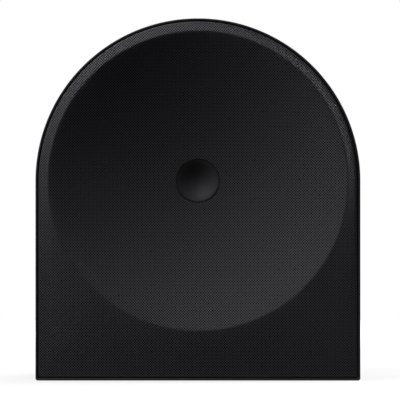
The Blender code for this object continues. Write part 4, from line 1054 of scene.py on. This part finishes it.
@dataclass
class Suspension:
    """The woofer's rubber roll and corrugated disc, which bend as the cone moves.

    Each is cut into equal sectors, which are left without a body.
    """

    cone: str = "woofer_diaphragm"
    wall: float = 0.0008
    sectors: int = 16
    turn_steps: int = 4
    roll: Pair = (0.037, 0.046)
    roll_lip: float = 0.003
    roll_steps: int = 24
    disc_hole: float = 0.0133
    disc_hold: Pair = (0.0145, 0.0307)
    waves: int = 2
    wave_share: float = 2 / 3
    wave_steps: int = 48

    def build(self) -> None:
        """Builds and dresses the roll and the disc."""
        self.cut("woofer_surround", "rubber", self.roll_lines())
        self.cut("woofer_spider", "spider_cloth", self.disc_lines())

    def roll_lines(self) -> tuple[Array, Array]:
        """Front and back lines of the roll, from its inner lip to its outer one.

        Between the lips it is half an ellipse: r = m - h cos a, y = lip - height sin a.

        Returns:
            Two arrays of radius and Y.
        """
        low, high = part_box("woofer_surround")
        middle, half = sum(self.roll) / 2, (self.roll[1] - self.roll[0]) / 2
        angle = unit(self.roll_steps + 1, True) * np.pi
        height = high[1] - self.wall - low[1]
        lines = []
        for lip, reach in ((high[1] - self.wall, half), (high[1], half - self.wall)):
            arch = stacked(middle - reach * np.cos(angle), lip - height * np.sin(angle))
            ends = ((self.roll[0] - self.roll_lip, lip), (high[0], lip))
            lines.append(np.concatenate([ends[:1], arch, ends[1:]]))
        return lines[0], lines[1]

    def disc_lines(self) -> tuple[Array, Array]:
        """Front and back lines of the disc, from its hole to its rim.

        With s from 0 at the hole to 1 at the rim, waves of height h stand forward as
        h sin^2(pi waves s / share) until s reaches the share, and the land is flat.

        Returns:
            Two arrays of radius and Y.
        """
        low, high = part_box("woofer_spider")
        share = unit(self.wave_steps + 1, True)
        height = high[1] - self.wall - low[1]
        wave = np.sin(np.pi * self.waves * np.minimum(share / self.wave_share, 1.0)) ** 2
        radius = self.disc_hole + (high[0] - self.disc_hole) * share
        front = high[1] - self.wall - height * wave
        return stacked(radius, front), stacked(radius, front + self.wall)

    def cut(self, node: str, slot: str, lines: tuple[Array, Array]) -> None:
        """Builds a ring's sectors and leaves them without a body.

        Args:
            node: The CAD node that the ring stands for.
            slot: Its material slot.
            lines: Its front and back lines.
        """
        loop = np.concatenate([lines[0], lines[1][::-1]])
        radius, y = loop[:, :1], loop[:, 1:]
        count, span = len(lines[0]), 2 * np.pi / self.sectors
        for number in range(self.sectors):
            angle = (number - 0.5 + unit(self.turn_steps + 1, True)) * span
            grid = stacked(radius * np.cos(angle), y, ARCH.axis + radius * np.sin(angle))
            skin = Skin()
            ids = skin.sheet(grid, False, True)
            skin.cover(np.stack([ids[:count, 0], ids[count:, 0][::-1]]), False)
            skin.cover(np.stack([ids[count:, -1][::-1], ids[:count, -1]]), False)
            piece = make_object(f"{node}_sector_{number + 1}", skin)
            dress(piece, slot, node, body=None)
            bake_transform(piece)


# Rear


class Sign(Enum):
    """The keys, named as in the frame, by the raised signs on them."""

    POWER = "power"
    PLUS = "volume_up"
    MINUS = "volume_down"


@dataclass
class RearPanel:
    """The rear cover with its openings, and the screws in their wells."""

    back: float = depths("rear_cover")[1]
    pillar_front: float = depths("rear_cover")[0]
    front: float = 0.052
    inside: float = 0.0615
    edge_round: float = 0.006
    seam_round: float = 0.0006
    rim: float = 0.005
    bevel: float = 0.0003
    button_hole: float = 0.0056
    button_spokes: int = 64
    port_hole: float = 0.0213
    port_spokes: int = 128
    slot_place: Pair = (0.0, 0.226)
    slot_size: Pair = (0.0091, 0.0040)
    slot_corner: float = 0.0009
    inlet_size: Pair = (0.0212, 0.0142)
    inlet_corner: float = 0.0068
    corner_steps: int = 12
    well: float = 0.0031
    well_floor: float = 0.0545
    well_spokes: int = 48
    clear: float = 0.0017
    pillar: float = 0.005
    screws: int = 6
    screw_spokes: int = 72
    head: float = 0.0026
    head_height: float = 0.0018
    head_round: float = 0.0005
    shank: float = 0.0014
    recess: float = 0.0013
    recess_depth: float = 0.0009
    recess_taper: float = 0.9
    lobes: int = 6
    lobe_swing: float = 0.15
    steps: int = 8

    def shell(self) -> Array:
        """The cover's outside from its flat back round to its inner face.

        Returns:
            (n, 2) pairs of inset and Y: a quarter round, a wall, a small round at the
            seam and the rim's inner wall.
        """
        edge = rounded(self.edge_round, 2 * self.steps) * (1, -1) + (0, self.back)
        seam = rounded(self.seam_round, self.steps)[::-1] + (0, self.front)
        return np.concatenate([edge, seam, [(self.rim, self.front), (self.rim, self.inside)]])

    def openings(self) -> list[Array]:
        """The walls of all openings, each from its bevel at the back to the inner face.

        Returns:
            (n, m, 3) points of each.
        """
        bevel = rounded(self.bevel, self.steps // 2) * (1, -1) + (0, self.back)
        mouth = np.concatenate([bevel, [(0, self.inside)]])
        holes = [("bass_port", self.port_hole, self.port_spokes)]
        holes += [(f"button_{sign.value}", self.button_hole, self.button_spokes) for sign in Sign]
        walls = [turned(mouth + (radius, 0), spot(node), spokes) for node, radius, spokes in holes]
        boxes = ((spot("mains_inlet"), self.inlet_size, self.inlet_corner),
                 (self.slot_place, self.slot_size, self.slot_corner))
        for centre, size, corner in boxes:
            loops = rounded_box(centre, size, corner, mouth[:, 0], self.corner_steps)
            walls.append(lifted(loops, mouth[:, 1]))
        deep = [(self.well, self.well_floor), (self.clear, self.well_floor),
                (self.clear, self.pillar_front), (self.pillar, self.pillar_front),
                (self.pillar, self.inside)]
        well = np.concatenate([bevel + (self.well, 0), deep])
        walls += [turned(well, spot(node), self.well_spokes) for node in self.screw_nodes()]
        return walls

    def screw_nodes(self) -> list[str]:
        """Returns the names of the cover's screws."""
        return [f"rear_screw_{number + 1}" for number in range(self.screws)]

    def build(self) -> None:
        """Builds and dresses the cover and its screws."""
        skin = Skin()
        shell = skin.sheet(ARCH.sweep(self.shell()))
        holes = [skin.sheet(wall[:, ::-1]) for wall in self.openings()]
        skin.cap([shell[0]] + [hole[0] for hole in holes], 1)
        skin.cap([shell[-1]] + [hole[-1] for hole in holes], -1)
        dress(make_object("back_panel", skin, EVEN), "cabinet_plastic", "rear_cover")
        for node in self.screw_nodes():
            piece = make_object(node.replace("rear", "cover"), self.screw(node), EVEN)
            dress(piece, "black_steel", node)

    def screw(self, node: str) -> Skin:
        """A screw whose head has a lobed recess: r = recess (1 + swing cos(lobes a))."""
        (x, z), (tip, top) = spot(node), depths(node)
        neck, floor = top - self.head_height, top - self.recess_depth
        angle = unit(self.screw_spokes) * 2 * np.pi
        lobed = self.recess * (1 + self.lobe_swing * np.cos(self.lobes * angle))
        edge = rounded(self.head_round, self.steps // 2) * (-1, -1) + (self.head, top)
        rest = [(self.head, neck), (self.shank, neck), (self.shank, tip + self.shank), (0, tip)]
        plain = np.concatenate([edge, rest])
        hollow = [0 * angle, self.recess_taper * lobed, lobed]
        radius = np.concatenate([hollow, plain[:, :1] + 0 * angle])
        level = np.concatenate([[floor, floor, top], plain[:, 1]])[:, None]
        return wrapped(stacked(x + radius * np.cos(angle), level, z + radius * np.sin(angle)))


@dataclass
class BassPort:
    """The flared duct in the rear cover."""

    bore: float = 0.014
    flare: float = 0.007
    wall: float = 0.002
    flange: float = 0.004
    seat: float = 0.0612
    lip: float = 0.0003
    steps: int = 24
    spokes: int = 128

    def build(self) -> None:
        """Builds and dresses the duct.

        The bell turns a quarter circle, r = mouth - flare sin a and
        y = back - flare (1 - cos a); the inner end opens by a smaller one.
        """
        end, back = depths("bass_port")
        mouth, tube, small = self.bore + self.flare, self.bore + self.wall, self.flare / 2
        angle = unit(self.steps, True)[1:] * np.pi / 2
        sine, fall = np.sin(angle), 1 - np.cos(angle)
        bell = stacked(mouth - self.flare * sine, back - self.flare * fall)
        inner = stacked(self.bore + small * fall, end + small * (1 - sine))
        outer = [(tube + small, end), (tube, end + small), (tube, self.seat - self.flare),
                 (mouth, self.seat - self.wall), (mouth + self.flange, self.seat - self.wall),
                 (mouth + self.flange, self.seat), (mouth, self.seat), (mouth, back - self.lip),
                 (mouth - self.lip, back)]
        profile = np.concatenate([bell, inner, outer])
        duct = wrapped(turned(profile, spot("bass_port"), self.spokes), True)
        dress(make_object("port_duct", duct), "inner_plastic", "bass_port")


@dataclass
class Controls:
    """The three keys and the slide switch on the rear cover."""

    key_radius: float = 0.0053
    key_round: float = 0.0007
    key_spokes: int = 72
    hollow: float = 0.00035
    crown_steps: int = 24
    brim: float = 0.0069
    brim_levels: Pair = (0.0602, 0.0612)
    plunger: float = 0.00265
    sign_half: float = 0.0019
    sign_width: float = 0.00055
    sign_rise: float = 0.00022
    sign_edge: float = 0.00008
    ring_gap: float = 0.22
    ring_share: float = 0.85
    ring_points: int = 49
    stem: Pair = (0.1, 1.1)
    knob_size: Pair = (0.0055, 0.0034)
    knob_corner: float = 0.0007
    knob_round: float = 0.0004
    knob_steps: int = 6
    ribs: int = 4
    rib_gap: float = 0.0011
    steps: int = 8

    def build(self) -> None:
        """Builds and dresses the keys and the switch."""
        for sign in Sign:
            piece = make_object(f"key_{sign.value}", self.key(sign))
            dress(piece, "rubber", f"button_{sign.value}", body=f"{sign.value}_key")
        piece = make_object("switch_knob", self.switch("microphone_switch"), EVEN)
        dress(piece, "rubber", "microphone_switch", body="microphone_slider")

    def paths(self, sign: Sign, centre: Pair) -> list[Array]:
        """Middle lines of a sign's bars.

        Args:
            sign: Which sign.
            centre: X and Z of the key.

        Returns:
            (n, 2) X and Z of each bar.
        """
        reach, half = self.sign_half, self.sign_width / 2
        across = np.array([(-reach, 0.0), (reach, 0.0)])
        upper = np.array([(0.0, half), (0.0, reach)])
        swing = np.linspace(0.5 + self.ring_gap, 2.5 - self.ring_gap, self.ring_points) * np.pi
        ring = self.ring_share * reach * stacked(np.cos(swing), np.sin(swing))
        stem = reach * stacked(0.0, self.stem)
        lines = {Sign.MINUS: [across], Sign.PLUS: [across, upper, -upper], Sign.POWER: [ring, stem]}
        # seen from behind, X runs to the left
        return [line * (-1, 1) + centre for line in lines[sign]]

    def raised(self, path: Array, level: float) -> Skin:
        """A bar of the signs' section that stands as far above a level as below it."""
        return bar(path, self.sign_width, level - self.sign_rise, level + self.sign_rise, self.sign_edge)

    def key(self, sign: Sign) -> Skin:
        """A key: a turned cap with a hollowed top, a brim inside, a plunger and its sign.

        The top is y = top - hollow (1 - (r/r0)^2), rounded over into the wall.
        """
        node = f"button_{sign.value}"
        centre, (tip, top), (low, high) = spot(node), depths(node), self.brim_levels
        share = unit(self.crown_steps, True)
        land = self.key_radius - self.key_round
        crown = stacked(land * share, top - self.hollow * (1 - share**2))
        edge = rounded(self.key_round, self.steps)[1:] * (-1, -1) + (self.key_radius, top)
        rest = [(self.key_radius, high), (self.brim, high), (self.brim, low),
                (self.plunger, low), (self.plunger, tip), (0, tip)]
        cap = wrapped(turned(np.concatenate([crown, edge, rest]), centre, self.key_spokes))
        signs = [self.raised(line, top - self.hollow) for line in self.paths(sign, centre)]
        return joined([cap] + signs)

    def switch(self, node: str) -> Skin:
        """The switch: a rounded knob with ribs across its top, on a brim behind the slot."""
        low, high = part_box(node)
        centre, top, brim = spot(node), high[1], self.brim_levels[1]
        edge = rounded(self.knob_round, self.steps)
        grow, level = np.append(-edge[:, 0], 0.0), np.append(top - edge[:, 1] - self.sign_rise, brim)
        plate = (high[0] - low[0], high[2] - low[2])
        forms = ((self.knob_size, grow, level), (plate, np.zeros(2), (brim, low[1])))
        blocks = []
        for size, growth, y in forms:
            loops = rounded_box(centre, size, self.knob_corner, growth, self.knob_steps)
            blocks.append(capped(lifted(loops, y)))
        places = (np.arange(self.ribs) - (self.ribs - 1) / 2) * self.rib_gap
        half = self.knob_size[1] / 2 - self.knob_round
        line = np.array([(0.0, -half), (0.0, half)]) + centre
        return joined(blocks + [self.raised(line + (x, 0.0), top - self.sign_rise) for x in places])


@dataclass
class Inlet:
    """The two-pin mains inlet."""

    size: Pair = (0.0156, 0.0086)
    corner: float = 0.004
    corner_steps: int = 12
    wall: float = 0.0025
    brim: float = 0.0055
    brim_levels: Pair = (0.0587, 0.0612)
    floor: float = 0.051
    round_over: float = 0.0006
    pin: float = 0.0012
    pin_spokes: int = 40
    steps: int = 8

    def build(self) -> None:
        """Builds and dresses the socket and its pins."""
        socket = make_object("inlet_socket", self.socket("mains_inlet"), EVEN)
        dress(socket, "socket_plastic", "mains_inlet")
        for node in ("inlet_pin_left", "inlet_pin_right"):
            piece = make_object(node.replace("inlet", "contact"), self.contact(node))
            dress(piece, "brass", node)

    def socket(self, node: str) -> Skin:
        """The socket: rounded rectangles from its floor over its rim to its rear."""
        (rear, face), (low, high) = depths(node), self.brim_levels
        edge = rounded(self.round_over, self.steps)
        inner = edge[::-1] * (1, -1) + (0, face)
        outer = edge * (-1, -1) + (self.wall, face)
        rest = [(self.wall, high), (self.brim, high), (self.brim, low), (self.wall, low),
                (self.wall, rear)]
        profile = np.concatenate([[(0, self.floor)], inner, outer, rest])
        loops = rounded_box(spot(node), self.size, self.corner, profile[:, 0], self.corner_steps)
        return capped(lifted(loops, profile[:, 1]))

    def contact(self, node: str) -> Skin:
        """A pin with a round tip, r = p sin a and y = top - p(1 - cos a), on a straight shank."""
        end, top = depths(node)
        angle = unit(2 * self.steps, True) * np.pi / 2
        tip = stacked(self.pin * np.sin(angle), top - self.pin * (1 - np.cos(angle)))
        profile = np.concatenate([tip, [(self.pin, end), (0, end)]])
        return wrapped(turned(profile, spot(node), self.pin_spokes))


# Stage


@dataclass(frozen=True)
class Lamp:
    """One soft box."""

    name: str
    place: Triple
    watts: float
    size: Pair = (0.4, 0.4)
    target: Triple = (0.0, -0.05, 0.15)


@dataclass
class Studio:
    """Floor, world, soft boxes and camera."""

    floor_half: float = 1.2
    floor_points: int = 3
    floor_height: float = -0.0002
    floor_pale: float = 0.3
    floor_bounce: float = 0.03
    floor_glow: float = 0.62
    glow_reach: Pair = (0.35, 0.9)
    glow_tone: float = 0.4
    ambient: float = 0.1
    surround: float = 0.15
    fade: Pair = (0.0, 0.25)
    aim: Pair = (0.0016, 0.1392)
    distance: float = 2.5
    frame_width: float = 0.3074
    sensor: float = 36.0
    lamps: tuple[Lamp, ...] = (
        Lamp("high_left_box", (-0.7, -0.3, 0.95), 6.2),
        Lamp("low_left_box", (-0.9, -0.3, 0.6), 2.6),
        Lamp("top_box", (-0.2, -0.3, 0.85), 2.9),
        Lamp("right_box", (0.6, 0.0, 0.5), 4.1, (0.15, 0.15)),
        Lamp("rear_box", (0.3, 0.9, 0.7), 8.0, (0.8, 0.6), (0.0, 0.06, 0.15)),
    )

    def build(self) -> None:
        """Sets the stage."""
        bpy.context.scene.view_settings.view_transform = "Standard"
        self.camera()
        self.floor()
        self.world()
        for lamp in self.lamps:
            self.light(lamp)

    def camera(self) -> None:
        """A long lens square to the front, as wide as the photograph's frame there."""
        lens = bpy.data.cameras.new("camera")
        lens.sensor_width = self.sensor
        lens.lens = self.sensor * self.distance / self.frame_width
        eye = bpy.data.objects.new("camera", lens)
        place = Matrix.Translation((self.aim[0], CAD_BOX[0][1] - self.distance, self.aim[1]))
        eye.matrix_world = place @ Matrix.Rotation(math.pi / 2, 4, "X")
        bpy.context.scene.collection.objects.link(eye)
        bpy.context.scene.camera = eye

    def seen(self, sheet: NodeSheet, behind: Socket) -> Socket:
        """Where a ray shows the white background.

        Args:
            sheet: The node tree's sheet.
            behind: Mask of what lies behind the cabinet's front.

        Returns:
            1 for camera rays, and the mask for glossy and transmission rays.
        """
        path = sheet.node("ShaderNodeLightPath").outputs
        bounced = sheet.maths("MAXIMUM", path["Is Glossy Ray"], path["Is Transmission Ray"])
        return sheet.maths("MAXIMUM", path["Is Camera Ray"], sheet.maths("MULTIPLY", bounced, behind))

    def floor(self) -> None:
        """A floor that is white to the camera and in reflections, and keeps the shadow.

        Round the cabinet its own light is weak, so that the lamps' shadows show there.
        It rises to white in a smooth step of the distance over the glow's reach. The glow's
        colour is a plain dim grey, made up for by its strength, which keeps the floor from
        being counted among the lamps: that would only add noise.
        """
        side = np.linspace(-self.floor_half, self.floor_half, self.floor_points)
        skin = Skin()
        skin.sheet(stacked(*np.meshgrid(side, side), self.floor_height), False)
        ground = make_object("floor", skin, Making(closed=False))
        made = bpy.data.materials.new("floor_paint")
        sheet = NodeSheet.opened(made)
        place = sheet.node("ShaderNodeTexCoord").outputs["Object"]
        depth = sheet.node("ShaderNodeSeparateXYZ", {0: place}).outputs["Y"]
        behind = sheet.maths("GREATER_THAN", depth, CAD_BOX[0][1])
        away = sheet.node("ShaderNodeVectorMath", {0: place}, operation="LENGTH").outputs["Value"]
        tone, extra = self.glow_tone, self.floor_pale - self.floor_bounce
        level = sheet.ramp(away, self.glow_reach, (self.floor_glow / tone, 1 / tone))
        glow = sheet.maths("MULTIPLY", self.seen(sheet, behind), level)
        shine = sheet.node("ShaderNodeEmission", {"Color": (tone, tone, tone, 1.0), "Strength": glow})
        direct = sheet.node("ShaderNodeLightPath").outputs["Is Camera Ray"]
        pale = sheet.maths("MULTIPLY_ADD", direct, extra, self.floor_bounce)
        paint = sheet.node("ShaderNodeBsdfDiffuse", {"Color": pale})
        both = sheet.node("ShaderNodeAddShader", {0: shine.outputs[0], 1: paint.outputs[0]})
        sheet.node("ShaderNodeOutputMaterial", {"Surface": both.outputs[0]})
        ground.data.materials.append(made)

    def world(self) -> None:
        """A white room behind the cabinet that fades to a dim one on the camera's side.

        The fade is a smooth step of the direction's Y between the two fade values.
        """
        room = bpy.data.worlds.new("room")
        sheet = NodeSheet.opened(room)
        way = sheet.node("ShaderNodeTexCoord").outputs["Generated"]
        behind = sheet.ramp(sheet.node("ShaderNodeSeparateXYZ", {0: way}).outputs["Y"], self.fade)
        soft = sheet.maths("MULTIPLY_ADD", behind, self.surround, self.ambient)
        strength = sheet.maths("MAXIMUM", soft, self.seen(sheet, behind))
        white = sheet.node("ShaderNodeBackground", {"Color": (1, 1, 1, 1), "Strength": strength})
        sheet.node("ShaderNodeOutputWorld", {"Surface": white.outputs[0]})
        bpy.context.scene.world = room

    def light(self, lamp: Lamp) -> None:
        """Hangs one soft box so that it faces its target."""
        data = bpy.data.lights.new(lamp.name, "AREA")
        data.shape = "RECTANGLE"
        data.size, data.size_y = lamp.size
        data.energy = lamp.watts
        box = bpy.data.objects.new(lamp.name, data)
        way = Vector(lamp.target) - Vector(lamp.place)
        turn = way.to_track_quat("-Z", "Y").to_matrix().to_4x4()
        box.matrix_world = Matrix.Translation(lamp.place) @ turn
        bpy.context.scene.collection.objects.link(box)


def dress_nodes() -> None:
    """Gives every CAD node the procedural finish of its slot."""
    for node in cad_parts.values():
        for holder in node.material_slots:
            holder.material = FINISHES[holder.material.name].material()


def main() -> None:
    """Builds the sub-assemblies in order."""
    logging.basicConfig(level=logging.INFO)
    dress_nodes()
    for kind in (Studio, Cabinet, Grille, Suspension, RearPanel, BassPort, Controls, Inlet):
        LOG.info("building %s", kind.__name__)
        kind().build()


if __name__ == "__main__":
    main()
